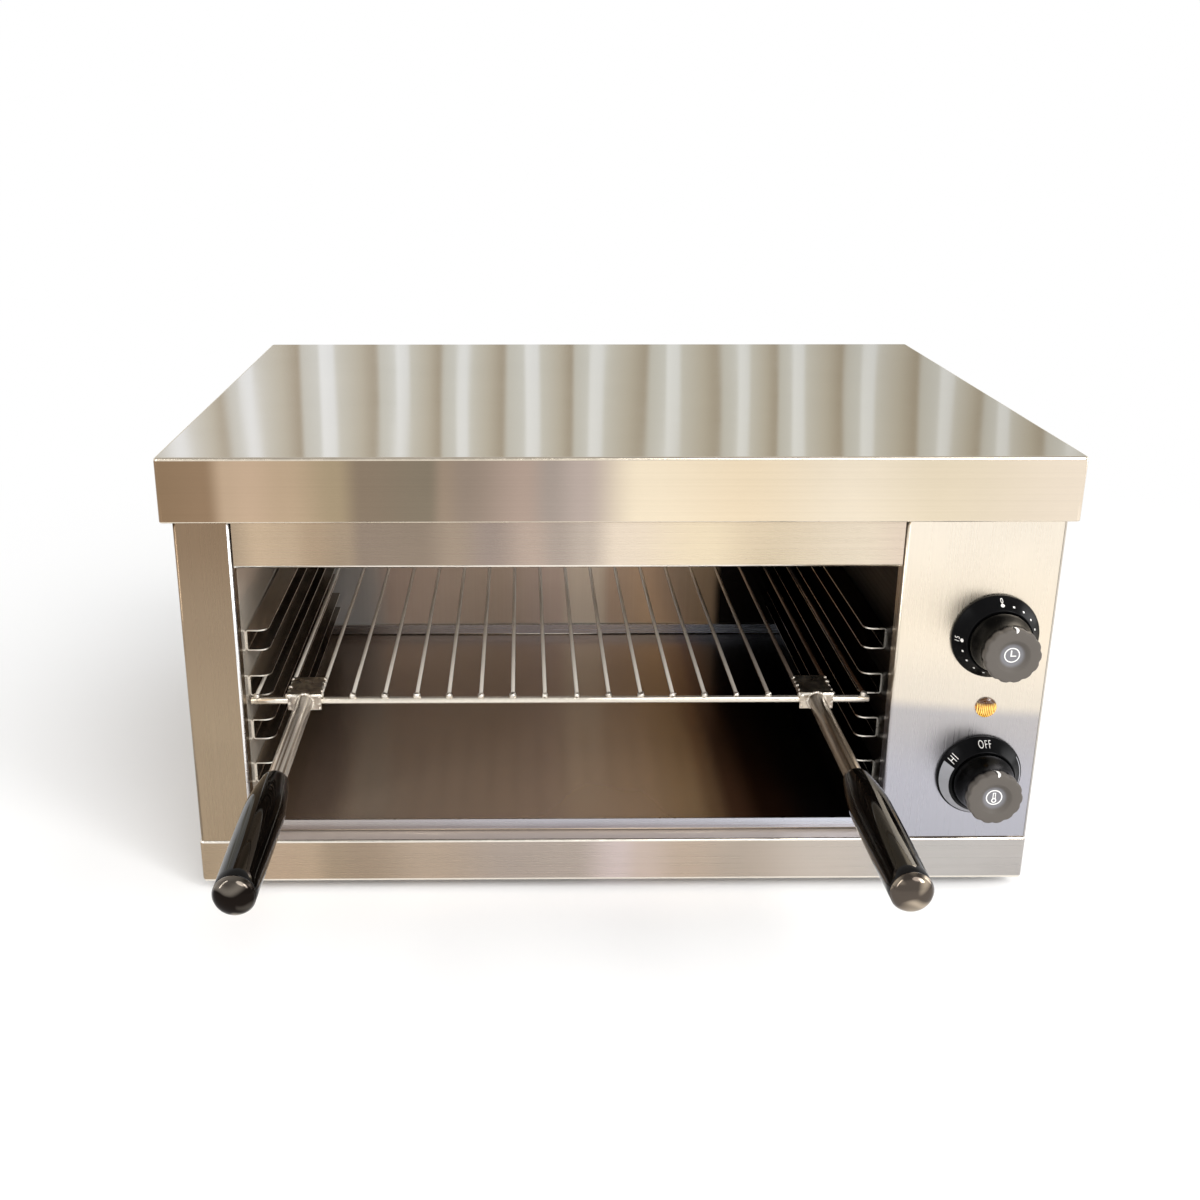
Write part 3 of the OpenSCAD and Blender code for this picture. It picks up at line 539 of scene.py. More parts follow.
upright_brush = {"hairs": (900, 900, 3), "brush_axis": (0, 0.02, 1)}
side_steel = brushed_stainless("brushed_stainless_left_side", body_painted_reflection, **upright_brush)
# painted highlight: the post's inner bend is painted pure white
post_bend_highlight = polished_steel("rubbed_bright_bend", "#ffffff", rough=0.3, mottle=0.02)
low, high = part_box("left_side_panel")
liner_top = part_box("left_liner")[1].z
front, rear, post_edge = low.y, high.y, high.x
return_depth, flange = 12 * mm, 12 * mm
shape = bmesh.new()
path = [(post_edge - half, front + return_depth), (post_edge - half, front + half),
        (low.x + half, front + half), (low.x + half, rear - half), (low.x + flange, rear - half)]
folded_strip(shape, path, (low.z, liner_top))
folded_strip(shape, path[2:], (liner_top, high.z))
folded_strip(shape, [(low.x, front + half), (post_edge, front + half)], (liner_top, high.z))
# the post's inner bend takes the painted highlight; the other bends stay plain sheet
for face in shape.faces:
    if face.material_index == 1:
        spot = face.calc_center_median()
        face.material_index = int(spot.x > post_edge - 4 * mm and spot.y < front + 3 * mm)
fixed_to(piece_from(shape, "left_side_and_post", side_steel, post_bend_highlight, cut_edge_highlight), "cabinet",
         "body_steel", "left_side_panel")


# ---- right side, control panel and header ----
# Three more brushed sheets: the right side with its vent slots, the panel that carries the
# controls, and the header between the posts, folded back under its lower edge.
def panel_painted_reflection(tree, place):
    """Painted reflections: cream at the top, with a soft step down to lavender grey at the height
    of the lamp; the step falls a little to the right."""
    leaning = add_node(tree, "Mapping", {"Vector": place, "Rotation": (0, -0.078, 0),
                                         "Location": (0, 0, -18.5 * mm)})
    return across(tree, leaning, [(0.04, "#aeaeb6"), (0.08, "#b2b1b9"), (0.135, "#b4b0b0"),
                                  (0.147, "#dbd1c2"), (0.20, "#eaddc9"), (0.28, "#f3e8d7")],
                  axis="Z", wander=0.003)


def side_tone(tree, place):
    return across(tree, place, [(0.04, "#b4b0ae"), (0.16, "#c9c2b8"), (0.30, "#d3c9bb")], axis="Z")


def header_painted_reflection(tree, place):
    """Painted reflections: tan bands at the left, clearing to cream past the middle."""
    return across(tree, place, [
        (-0.26, "#a3917b"), (-0.236, "#c5ae93"), (-0.218, "#bea88e"), (-0.200, "#b19b82"),
        (-0.180, "#a99680"), (-0.168, "#948475"), (-0.130, "#8f8071"), (-0.108, "#a1907f"),
        (-0.085, "#9b8c82"), (-0.058, "#b7a496"), (-0.042, "#ab9d92"), (-0.022, "#bdafa2"),
        (-0.002, "#e3d3bf"), (0.055, "#e4d3b6"), (0.087, "#dbc9ad"), (0.157, "#dbcdb8"),
        (0.19, "#d3c2b0")], wander=0.003)


panel_steel = brushed_stainless("brushed_stainless_panel", panel_painted_reflection, hairs=(700, 700, 4),
                                brush_axis=(0, 0.02, 1), contrast=0.02, depth=0.025)
dress(brushed_stainless("brushed_stainless_right_side", side_tone, **upright_brush),
      "right_side_panel")
low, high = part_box("control_panel")
shape = bmesh.new()
folded_strip(shape, [(low.x + half, front + return_depth), (low.x + half, front + half),
                     (high.x, front + half)], (low.z, liner_top))
folded_strip(shape, [(low.x, front + half), (high.x, front + half)], (liner_top, high.z))
piece = piece_from(shape, "control_panel_sheet", panel_steel, panel_steel, cut_edge_highlight)
shaft_r, lamp_r = 5 * mm, 6.2 * mm
timer_low, timer_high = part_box("timer_bezel")
lens_low, lens_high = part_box("pilot_lens")
knob_x = (timer_low.x + timer_high.x) / 2
timer_z, thermostat_z, pilot_z = ((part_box(node)[0].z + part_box(node)[1].z) / 2 for node in (
    "timer_bezel", "thermostat_bezel", "pilot_lens"))
drills = bmesh.new()
for z, r in ((timer_z, shaft_r), (thermostat_z, shaft_r), (pilot_z, lamp_r)):
    bmesh.ops.create_cone(drills, cap_ends=True, segments=32, radius1=r, radius2=r, depth=8 * mm,
                          matrix=Matrix.Translation((knob_x, front, z))
                          @ Matrix.Rotation(math.pi / 2, 4, "X"))
drill = piece_from(drills, "drill")
cut = piece.modifiers.new("holes", "BOOLEAN")
cut.object, cut.operation, cut.solver = drill, "DIFFERENCE", "EXACT"
finished(piece)
bpy.data.objects.remove(drill)
fixed_to(piece, "cabinet", "panel_steel", "control_panel")


def along_x(u, v, w):
    return Vector((w, u, v))


header_steel = brushed_stainless("brushed_stainless_header", header_painted_reflection)
low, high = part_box("header_panel")
shape = bmesh.new()
folded_strip(shape, [(high.y, low.z + half), (front + half, low.z + half),
                     (front + half, high.z)], (low.x, high.x), along_x)
for x in (low.x + half, high.x - half):
    folded_strip(shape, [(x, front + sheet), (x, front + return_depth)],
                 (low.z + sheet, liner_top))
fixed_to(piece_from(shape, "header_sheet", header_steel, bend_highlight, cut_edge_highlight), "cabinet",
         "body_steel", "header_panel")


# ---- cavity walls ----
# The cavity is lined with bright annealed sheet. It is smooth enough to mirror the runners. Its
# walls carry painted reflections in upright streaks and painted shade, near black at the right.
def cavity_reflection_and_shade(tree, place):
    """Painted reflections in upright streaks: white and blue grey at the left, browns across, and
    painted shade near black at the right.
    """
    return across(tree, place, [
        (-0.256, "#ffffff"), (-0.215, "#f0efec"), (-0.19, "#e9d5c7"), (-0.09, "#d8c9ba"),
        (-0.03, "#e7d9d2"), (-0.015, "#f9f3e9"), (0.008, "#f9f3e9"), (0.022, "#e0cdbd"),
        (0.07, "#fde1c3"), (0.119, "#f3cea6"), (0.129, "#1f1610"), (0.20, "#040302")],
        wander=0.003)


def left_wall_tone(tree, place):
    return across(tree, place, [(-0.12, "#e9dfd0"), (0.0, "#d9cebe"), (0.29, "#bfb3a4")], axis="Y")


# painted shade: the right wall is painted near black where it lies in shade
def right_wall_painted_shade(tree, place):
    return across(tree, place, [(-0.12, "#241d19"), (0.29, "#0c0a09")], axis="Y")


lengthwise = {"brush_axis": (0, 1, 0.02), "spread": 0.3}
dress(brushed_stainless("bright_annealed_left_wall", left_wall_tone, hairs=(500, 3, 500),
                        rough=0.14, depth=0.04, metal=0.5, **lengthwise), "left_liner")
dress(brushed_stainless("bright_annealed_rear_wall", cavity_reflection_and_shade, hairs=(500, 500, 3),
                        brush_axis=(0, 0.02, 1), rough=0.15, spread=0.4, depth=0.03, metal=0.5),
      "rear_liner")
# the right wall takes the painted shade
dress(brushed_stainless("heat_blackened_right_wall", right_wall_painted_shade, hairs=(500, 3, 500),
                        rough=0.45, depth=0.04, **lengthwise), "right_liner")
dress(brushed_stainless("polished_reflector", left_wall_tone, hairs=(3, 500, 500), rough=0.2,
                        spread=0.3), "ceiling_reflector", "element_hanger_left",
      "element_hanger_right")


# ---- runners ----
# Four channels on each wall, folded from sheet with the front corners of both flanges rounded off.
# Their sheared edges carry a painted highlight; the faces carry painted shade like the walls, near
# black at the right.
def runner_strip(box, inward, corner):
    """One channel: its web stands on the wall, and inward is the way its flanges reach."""
    low, high = box
    shape = bmesh.new()
    wall = low.x if inward > 0 else high.x
    rounding = [corner * (1 - math.cos(math.pi / 2 * i / 8)) for i in range(9)]
    cuts = [(low.y + y, corner - math.sqrt(max(0, corner ** 2 - (corner - y) ** 2)))
            for y in rounding] + [(high.y, 0)]
    rows = []
    for y, short in cuts:
        tip, web = wall + inward * (high.x - low.x - short), wall + inward * half
        stations = bent_line([(tip, low.z + half), (web, low.z + half), (web, high.z - half),
                              (tip, high.z - half)], 1.3 * mm)
        row = []
        for point, way, in_bend in stations:
            aside = Vector((-way.y, way.x)) * half
            row.append([shape.verts.new((point.x + side * aside.x, y, point.y + side * aside.y))
                        for side in (-1, 1)])
        rows.append((row, [in_bend for point, way, in_bend in stations]))
    for (near, bends), (far, _) in zip(rows, rows[1:]):
        for i in range(len(near) - 1):
            for side in (0, 1):
                face = shape.faces.new((near[i][side], near[i + 1][side],
                                        far[i + 1][side], far[i][side]))
                face.smooth = bends[i]
        for end in (0, -1):
            face = shape.faces.new((near[end][0], near[end][1], far[end][1], far[end][0]))
            face.material_index = 1 if near[end][0].co.y < low.y + corner else 2
    for row, _ in (rows[0], rows[-1]):
        for i in range(len(row) - 1):
            face = shape.faces.new((row[i][0], row[i][1], row[i + 1][1], row[i + 1][0]))
            face.material_index = 1
    bmesh.ops.recalc_face_normals(shape, faces=shape.faces)
    return shape


# painted shade: the runners darken from tan to near black towards the right wall
def runner_tone_and_shade(tree, place):
    return across(tree, place, [(-0.26, "#9a8d7e"), (0.0, "#8a7d6f"), (0.17, "#17120f"),
                                (0.19, "#0e0b09")])


runner_steel = brushed_stainless("folded_stainless_runner", runner_tone_and_shade, hairs=(600, 3, 600),
                                 rough=0.16, depth=0.04, metal=0.95, **lengthwise)
# painted highlight: front ends and sheared edges are painted near white
pale_edge_highlight = polished_steel("bright_sheared_edge", "#e9e3d8", rough=0.3, mottle=0.1)
# rear edges: tan on the left, painted near black on the right as painted shade
for side, inward, finish, colour in (("left", 1, "browned_edge", "#b3a594"),
                                     ("right", -1, "blackened_edge", "#17120f")):
    back_edge = polished_steel(finish, colour, rough=0.3, mottle=0.1)
    for level in (1, 2, 3, 4):
        node = f"runner_{side}_{level}"
        shape = runner_strip(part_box(node), inward, 7 * mm)
        fixed_to(piece_from(shape, f"channel_{side}_{level}", runner_steel, pale_edge_highlight,
                            back_edge), "cabinet", "runner_steel", node)

# ---- heating elements ----
# Three U-shaped sheathed elements hang under the reflector, screwed through the right wall with
# brass bushes. Their sheaths are dark and mottled from firing.
dress(polished_steel("fired_sheath", "#4a4038", rough=0.45, mottle=0.45, scale=140.0, depth=0.2),
      "heating_element_front", "heating_element_middle", "heating_element_rear")
dress(polished_steel("turned_brass", "#b8924e", rough=0.28, mottle=0.12), "element_bushes")
dress(moulded("fired_ceramic", "#dcd6c8", 0.35, grain=500.0), "element_terminals")


# ---- crumb tray ----
# A shallow tray of bright sheet slides over the base. Its lip, sides and rear upstand are folded
# up. Its brown is a painted reflection, with painted shade to near black towards the right wall.
def tray_reflection_and_shade(tree, place):
    """Painted reflection in browns, with painted shade darkening to near black towards the right
    wall.
    """
    return across(tree, place, [
        (-0.256, "#76614d"), (-0.215, "#9b8473"), (-0.18, "#b4a08d"), (-0.05, "#bfa691"),
        (-0.012, "#cfb49a"), (0.02, "#cdb194"), (0.063, "#bea07b"), (0.078, "#9c7b5a"),
        (0.092, "#694833"), (0.115, "#2f1b10"), (0.15, "#100c0a"), (0.19, "#0c0a09")],
        wander=0.003)


def lip_tone(tree, place):
    return across(tree, place, [(-0.256, "#b1a9a5"), (0.0, "#bcbbc3"), (0.19, "#cfd4e0")])


tray_steel = brushed_stainless("browned_tray_sheet", tray_reflection_and_shade, hairs=(3, 1100, 1100), rough=0.22,
                               spread=0.5, depth=0.002, contrast=0.006, metal=0.7, swing=0.008)
lip_steel = brushed_stainless("tray_lip_sheet", lip_tone, rough=0.24)
low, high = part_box("crumb_tray")
lip_top = low.z + 9.5 * mm
shape = bmesh.new()
folded_strip(shape, [(low.y + half, lip_top), (low.y + half, low.z + half),
                     (high.y - half, low.z + half), (high.y - half, high.z)],
             (low.x + sheet, high.x - sheet), along_x)
for face in shape.faces:
    y = face.calc_center_median().y
    if face.material_index == 0 and not low.y + sheet * 1.1 <= y <= high.y - sheet * 1.1:
        face.material_index = 3
for x in (low.x + half, high.x - half):
    folded_strip(shape, [(x, low.y), (x, high.y)], (low.z, lip_top))
fixed_to(piece_from(shape, "crumb_tray_sheet", tray_steel, bend_highlight, pale_edge_highlight, lip_steel),
         "tray", "tray_steel", "crumb_tray")

# ---- rack ----
# Twenty plated wires lie on a front bar and under a rear bar. Each crossing is resistance welded,
# and the flash round it is pale, lumpy and rough.
low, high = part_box("rack_bars")
wires_low, wires_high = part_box("rack_wires")
bar_r, wire_r, wire_count = 2.5, 1.5, 20
bar_front_y, bar_rear_y = low.y + bar_r * mm, high.y - bar_r * mm
bar_front_z, bar_rear_z = low.z + bar_r * mm, high.z - bar_r * mm
wire_z, first_wire = wires_low.z + wire_r * mm, wires_low.x + wire_r * mm
wire_gap = (wires_high.x - wires_low.x - 2 * wire_r * mm) / (wire_count - 1)
wire_xs = [first_wire + wire_gap * i for i in range(wire_count)]


def rod_profile(radius, length, edge=0.5):
    """Half outline of a plain rod with softly broken ends."""
    return [(0, 0), (radius - edge, 0), (radius - edge * 0.3, edge * 0.3), (radius, edge),
            (radius, length - edge), (radius - edge * 0.3, length - edge * 0.3),
            (radius - edge, length), (0, length)]


def wire_highlight_and_shade(tree, place):
    """Painted highlight along its top, and painted shade lower down and towards the right."""
    height, side = (add_node(tree, "SeparateXYZ", (place,), axis) for axis in "ZX")
    share = add_node(tree, "MapRange", (height, wire_z + wire_r * 0.2 * mm,
                                        wire_z + wire_r * 0.6 * mm))
    far = add_node(tree, "MapRange", (side, 0.04, 0.14))
    top = add_node(tree, "Mix", {"Factor": far, "A": linear("#fff7ea"), "B": linear("#4a3426")},
                   2, data_type="RGBA")
    return add_node(tree, "Mix", {"Factor": share, "A": linear("#40352c"), "B": top}, 2,
                    data_type="RGBA")


plate = polished_steel("bright_plated_bar", "#e6ddcf", mottle=0.12, scale=500.0, metal=0.8)
wire_plate = polished_steel("bright_plated_wire", wire_highlight_and_shade, rough=0.2, scale=500.0, metal=0.35)
weld_flash = polished_steel("weld_flash", "#e8e0d4", rough=0.42, mottle=0.25, scale=900.0,
                            depth=0.5)
shape = bmesh.new()
for y, z in ((bar_front_y, bar_front_z), (bar_rear_y, bar_rear_z)):
    turned(rod_profile(bar_r, (high.x - low.x) / mm),
           placer((low.x, y, z), rearward, upward, right), steps=24, shape=shape)
fixed_to(piece_from(shape, "rack_bars_plated", plate), "rack", "rack_chrome", "rack_bars")

shape = turned(rod_profile(wire_r, (wires_high.y - wires_low.y) / mm),
               placer((0, 0, 0), right, upward, rearward), steps=16)
fixed_to(copies_at("rack_wires_plated", shape, [(x, wires_low.y, wire_z) for x in wire_xs],
                   wire_plate), "rack", "rack_chrome", "rack_wires")


def lump(radius, stretch, seed, roughness=0.35):
    """A small lumpy bead, as a drop of weld sets."""
    shape = bmesh.new()
    bmesh.ops.create_icosphere(shape, subdivisions=3, radius=1)
    for vert in shape.verts:
        swell = 1 + roughness * noise.noise(vert.co * 1.7 + Vector((seed, 0, 0)))
        vert.co = Vector(c * s * radius * mm * swell for c, s in zip(vert.co, stretch))
    for face in shape.faces:
        face.smooth = True
    return shape


for end, y, z, bead, size_spread, turn_spread, seed in (
        ("front", bar_front_y - 0.6 * mm, wire_z + 0.1 * mm, lump(2.25, (1, 1, 0.8), 3), 0.22,
         (0.5, 0.5, 3), 7),
        ("rear", bar_rear_y, wire_z + 1.2 * mm, lump(1.9, (1, 1.3, 0.7), 5), 0.2,
         (0.4, 0.4, 0.5), 11)):
    fixed_to(copies_at(f"weld_beads_{end}", bead, [(x, y, z) for x in wire_xs], weld_flash,
                       size_spread, turn_spread, seed), "rack", "rack_chrome")


# ---- handle brackets ----
# Each bracket is a small plate folded over the front bar and welded along both sides to two
# wires. The heat has tinted it brown and grey.
def heat_tint(tree, place):
    """The cloudy straw, brown and blue grey of welding heat."""
    cloud = add_node(tree, "TexNoise", {"Vector": place, "Scale": 110.0, "Detail": 3.0,
                                        "Distortion": 0.6})
    return add_node(tree, "ValToRGB", (cloud,), stops=[
        (0.3, "#857b71"), (0.45, "#aa9d8f"), (0.58, "#cfc3b2"), (0.72, "#969089"),
        (1.0, "#c9beae")])


tinted = polished_steel("heat_tinted_sheet", heat_tint, rough=0.3, scale=90.0, depth=0.1)
thick = 1.2 * mm
for side in ("left", "right"):
    node = f"rack_bracket_{side}"
    low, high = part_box(node)
    shape = bmesh.new()
    folded_strip(shape, [(high.y, high.z - thick / 2), (low.y + thick / 2, high.z - thick / 2),
                         (low.y + thick / 2, low.z)], (low.x, high.x), along_x, 1.4 * mm, thick)
    piece = piece_from(shape, f"bracket_plate_{side}", tinted, bend_highlight, pale_edge_highlight)
    edges = piece.modifiers.new("broken edges", "BEVEL")
    edges.width, edges.segments, edges.limit_method = 0.25 * mm, 2, "ANGLE"
    fixed_to(finished(piece), "rack", "bracket_steel", node)
    spots = [(x, low.y + 6 * mm + i * 7.2 * mm, high.z - 0.5 * mm)
             for x in (low.x + 0.4 * mm, high.x - 0.4 * mm) for i in range(4)]
    spots += [(x, low.y + 0.4 * mm, z) for x in (low.x + 1.4 * mm, high.x - 1.4 * mm)
              for z in (low.z + 1.5 * mm, low.z + 5 * mm, high.z - 2.2 * mm)]
    fixed_to(copies_at(f"bracket_welds_{side}", lump(1.25, (1, 1, 0.8), 9), spots, weld_flash,
                       0.4, (1, 1, 3), 13 + len(side)), "rack", "bracket_steel")


# ---- handles ----
# A bright steel tube is welded to each bracket, and a glossy black phenolic grip is driven over
# its end. A domed cap with a turned rim closes the grip.
def tube_tone(tree, place):
    """Lengthwise drawing lines, some of them dark; the tone darkens towards the right, so the right
    tube is darker.
    """
    grain = add_node(tree, "Mapping", {"Vector": place, "Scale": (420, 2, 420)})
    lines = add_node(tree, "TexNoise", {"Vector": grain, "Scale": 1.0, "Detail": 1.0})
    drawn = add_node(tree, "ValToRGB", (lines,), stops=[(0.36, "#7f7163"), (0.56, "#eee5d8")])
    darker_to_right = across(tree, place, [(-0.2, "#ffffff"), (0.1, "#a59a8e")])
    return add_node(tree, "Mix", {"Factor": 1.0, "A": drawn, "B": darker_to_right}, 2, data_type="RGBA",
                    blend_type="MULTIPLY")


def metallised_with_painted_reflections(name, deep, light):
    """Plastic with a thin metal skin, mirror bright; a noise cloud between a deep and a light tone
    paints reflections on it.
    """
    def reflection_patches(tree, place):
        cloud = add_node(tree, "TexNoise", {"Vector": place, "Scale": 62.0, "Detail": 1.0,
                                            "Distortion": 0.5})
        return add_node(tree, "ValToRGB", (cloud,), stops=[(0.40, deep), (0.62, light)])
    return polished_steel(name, reflection_patches, rough=0.12, scale=70.0, depth=0.02)


tube_steel = brushed_stainless("drawn_tube", tube_tone, hairs=(700, 3, 700), rough=0.2,
                               depth=0.02, metal=0.62, **lengthwise)
# polished: a deep gloss with faint rub marks
phenolic = moulded("glossy_phenolic", "#080605", 0.035, grain=160.0, depth=0.005, ior=1.45,
                   mottle=0.3, glint=0.2)
# painted reflection: the left cap gets a darker copy and the right cap a paler one
cap_gloss = {"left": metallised_with_painted_reflections("smoked_metallised_plastic", "#1d1815", "#a0968a"),
             "right": metallised_with_painted_reflections("clear_metallised_plastic", "#544c45", "#c4b49f")}
tube_r, bore, grip_bore, neck, full, end, rise, dome = 6, 4.5, 6.1, 8.5, 12.5, 11.7, 44, 6.35
for side in ("left", "right"):
    tube_low, tube_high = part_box(f"handle_tube_{side}")
    grip_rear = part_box(f"handle_grip_{side}")[1].y
    cap_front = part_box(f"handle_cap_{side}")[0].y
    on_handle = placer(((tube_low.x + tube_high.x) / 2, tube_high.y,
                        (tube_low.z + tube_high.z) / 2), right, upward, forward)
    length = (tube_high.y - tube_low.y) / mm
    shape = turned([(bore, 0), (tube_r - 0.2, 0), (tube_r, 0.3), (tube_r, length - 0.3),
                    (tube_r - 0.2, length), (bore, length)], on_handle, closed=True)
    fixed_to(piece_from(shape, f"tube_{side}", tube_steel), "rack", "tube_chrome",
             f"handle_tube_{side}")
    ring = [on_handle(6.2 * math.cos(a), 6.2 * math.sin(a), 0.5)
            for a in (2 * math.pi * i / 22 for i in range(22))]
    fixed_to(copies_at(f"tube_weld_{side}", lump(1.15, (1, 1, 1), 15), ring, weld_flash, 0.3,
                       (2, 2, 2), 17 + len(side)), "rack", "bracket_steel")

    start = (tube_high.y - grip_rear) / mm
    grip_length = (grip_rear - cap_front) / mm - 6.5
    profile = [(grip_bore, 0.4), (6.5, 0), (neck - 0.9, 0), (neck - 0.3, 0.3)]
    for t in (i / 16 for i in range(17)):
        profile.append((neck + (full - neck) * math.sin(math.pi / 2 * t), 1 + rise * t))
    for t in (i / 12 for i in range(1, 13)):
        profile.append((full - (full - end) * t * t, 1 + rise + (grip_length - rise - 1.6) * t))
    profile += [(end - 0.25, grip_length - 0.2), (end - 0.8, grip_length),
                (grip_bore, grip_length)]
    shape = turned([(r, start + h) for r, h in profile], on_handle, steps=64, closed=True)
    fixed_to(piece_from(shape, f"grip_{side}", phenolic), "rack", "grip_black",
             f"handle_grip_{side}")

    base = start + grip_length + 0.15
    profile = [(0, base), (end - 0.6, base), (end, base + 0.5), (end, base + 1.1),
               (end - 0.35, base + 1.3)]
    for a in (math.pi / 2 * i / 12 for i in range(1, 12)):
        profile.append(((end - 0.35) * math.cos(a), base + 1.3 + (dome - 1.3) * math.sin(a)))
    shape = turned(profile + [(0, base + dome)], on_handle, steps=64)
    fixed_to(piece_from(shape, f"cap_{side}", cap_gloss[side]), "rack", "cap_black",
             f"handle_cap_{side}")

# ---- dial plates ----
# Two moulded black cones stand behind the knobs. Their marks are printed in white: dots and
# numbers for the minutes, and a wedge from low to high for the heat. Sizes are in millimetres.
dial_black = moulded("gloss_black_dial", "#0a0a0b", 0.24, grain=1200.0, depth=0.06, glint=0.06)
print_white = moulded("printed_white", "#f1efeb", 0.5, depth=0.02, mottle=0.03)
print_grey = moulded("printed_grey", "#98989c", 0.5, depth=0.02, mottle=0.03)
plate_r, plate_t = (timer_high.x - timer_low.x) / 2 / mm, (front - timer_low.y) / mm
skirt_r = 20.7
cone_top, cone_foot, foot_t = skirt_r + 1.6, plate_r - 0.8, 3.2
cone_run, cone_rise = cone_foot - cone_top, plate_t - 0.4 - foot_t
cone_slant = cone_run / math.hypot(cone_run, cone_rise)


def on_dial(z):
    """The placing rule for forms on a control's axis."""
    return placer((knob_x, front, z), right, upward, forward)


for name, z in (("timer", timer_z), ("thermostat", thermostat_z)):
    shape = turned([
        (5, 0), (plate_r - 0.2, 0), (plate_r, 0.3), (plate_r, 1.9), (plate_r - 0.1, 2.4),
        (plate_r - 0.4, 2.85), (cone_foot, foot_t), (cone_top + 0.2, plate_t - 0.6),
        (cone_top, plate_t - 0.3), (cone_top - 0.2, plate_t - 0.1), (cone_top - 0.5, plate_t),
        (skirt_r + 0.5, plate_t), (skirt_r + 0.3, plate_t - 0.5), (5, plate_t - 0.5)],
        on_dial(z), steps=96, closed=True)
    fixed_to(piece_from(shape, f"{name}_dial_plate", dial_black), "cabinet", "dial_black",
             f"{name}_bezel")


def cone_point(angle, aside, up):
    """Plan place of a mark's point: angle in degrees clockwise from the top, then aside along
    the rim and up the slope from its foot."""
    a, r = math.radians(angle), cone_foot - up * cone_slant
    return r * math.sin(a) + aside * math.cos(a), r * math.cos(a) - aside * math.sin(a)


def printed(shape, outline, z, lift=0.05):
    """Adds one mark: its outline's plan points (u, v) are laid on the cone."""
    verts = []
    for u, v in outline:
        up = (cone_foot - math.hypot(u, v)) / cone_run * cone_rise
        verts.append(shape.verts.new(on_dial(z)(u, v, foot_t + up + lift / cone_slant)))
    shape.faces.new(verts)


def dot(shape, angle, size, z, up=6.9):
    printed(shape, [cone_point(angle, size * math.cos(t), up + size * math.sin(t))
                    for t in (2 * math.pi * i / 16 for i in range(16))], z)


def letters(shape, text, angle, up, tall, z, squeeze, weight=0.0):
    """Adds plain lettering whose foot points at the dial's centre."""
    curve = bpy.data.curves.new(text, "FONT")
    curve.body, curve.align_x, curve.align_y = text, "CENTER", "CENTER"
    curve.size, curve.offset, curve.space_character = tall * 1.42 * mm, weight * mm, 1.2
    source = bpy.data.objects.new(text, curve)
    mesh = bpy.data.meshes.new_from_object(source)
    for polygon in mesh.polygons:
        corners = [mesh.vertices[i].co / mm for i in polygon.vertices]
        printed(shape, [cone_point(angle, c.x * squeeze, up - c.y) for c in corners], z)
    bpy.data.objects.remove(source)
    bpy.data.curves.remove(curve)
    bpy.data.meshes.remove(mesh)


def print_piece(shape, name, ink, body, slot):
    """Turns every flat mark to face the front and makes them one piece."""
    shape.normal_update()
    for face in shape.faces:
        if face.normal.y > 0:
            face.normal_flip()
    fixed_to(piece_from(shape, name, ink), body, slot)


shape = bmesh.new()
dot(shape, 0, 1.3, timer_z)
letters(shape, "0", 0, 3.3, 4.4, timer_z, 0.62)
for i in range(1, 15):
    dot(shape, 18 * i, 0.8, timer_z)
dot(shape, 270, 1.3, timer_z)
letters(shape, "15", 270, 3.3, 3.8, timer_z, 0.72)
print_piece(shape, "timer_print", print_white, "cabinet", "dial_black")

shape = bmesh.new()
letters(shape, "OFF", 0, 5.2, 6.6, thermostat_z, 0.5, weight=-0.16)
letters(shape, "HI", -54, 5.4, 6.8, thermostat_z, 0.56, weight=-0.1)
print_piece(shape, "thermostat_print", print_white, "cabinet", "dial_black")

shape = bmesh.new()
wedge_from, wedge_to, wedge_steps = -65, -302, 60
for i in range(wedge_steps):
    edge = []
    for share in (i / wedge_steps, (i + 1) / wedge_steps):
        angle = wedge_from + (wedge_to - wedge_from) * share
        edge += [cone_point(angle, 0, 1.4 + 8.6 * (1 - share)), cone_point(angle, 0, 0.7)]
    printed(shape, [edge[0], edge[1], edge[3], edge[2]], thermostat_z)
bmesh.ops.remove_doubles(shape, verts=shape.verts, dist=1e-7)
print_piece(shape, "thermostat_wedge", print_grey, "cabinet", "dial_black")

# ---- knobs ----
# Each knob is moulded in dark grey: a skirt, a glossy waist, a fluted front rim and a dished
# face with a printed sign. A printed comma at the top shows where it points.
knob_low, knob_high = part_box("timer_knob")
face_h, back_h = (front - knob_low.y) / mm, (front - knob_high.y) / mm
disc_r, flutes = 18.7, 14
dish_h = face_h - 3.1


def knob_grey(name, axis):
    """Satin face whose dish is painted paler towards its axis as a painted highlight, and a
    glossier waist behind it.
    """
    def grey(tree, place):
        off_axis = add_node(tree, "VectorMath", (place, axis), operation="SUBTRACT")
        flat = add_node(tree, "VectorMath", (off_axis, (1, 0, 1)), operation="MULTIPLY")
        reach = add_node(tree, "VectorMath", (flat,), "Value", operation="LENGTH")
        # painted highlight: the dish is paler towards the axis
        dish = add_node(tree, "MapRange", (reach, 6.5 * mm, 9 * mm),
                        interpolation_type="SMOOTHSTEP")
        face = add_node(tree, "Mix", {"Factor": dish, "A": linear("#78777a"),
                                      "B": linear("#605b56")}, 2, data_type="RGBA")
        depth = add_node(tree, "SeparateXYZ", (place,), "Y")
        behind = add_node(tree, "MapRange", (depth, knob_low.y + 3 * mm, knob_low.y + 8 * mm),
                          interpolation_type="SMOOTHSTEP")
        behind.node.name = "behind the face"
        return add_node(tree, "Mix", {"Factor": behind, "A": face, "B": linear("#050505")}, 2,
                        data_type="RGBA")
    material = moulded(name, grey, 0.34, grain=1400.0, depth=0.08, glint=0.04)
    tree = material.node_tree
    polish = add_node(tree, "Mix", {"Factor": tree.nodes["behind the face"].outputs[0],
                                    "A": 0.36, "B": 0.16}, data_type="FLOAT")
    feed(tree.nodes["Principled BSDF"], {"Roughness": polish})
    return material


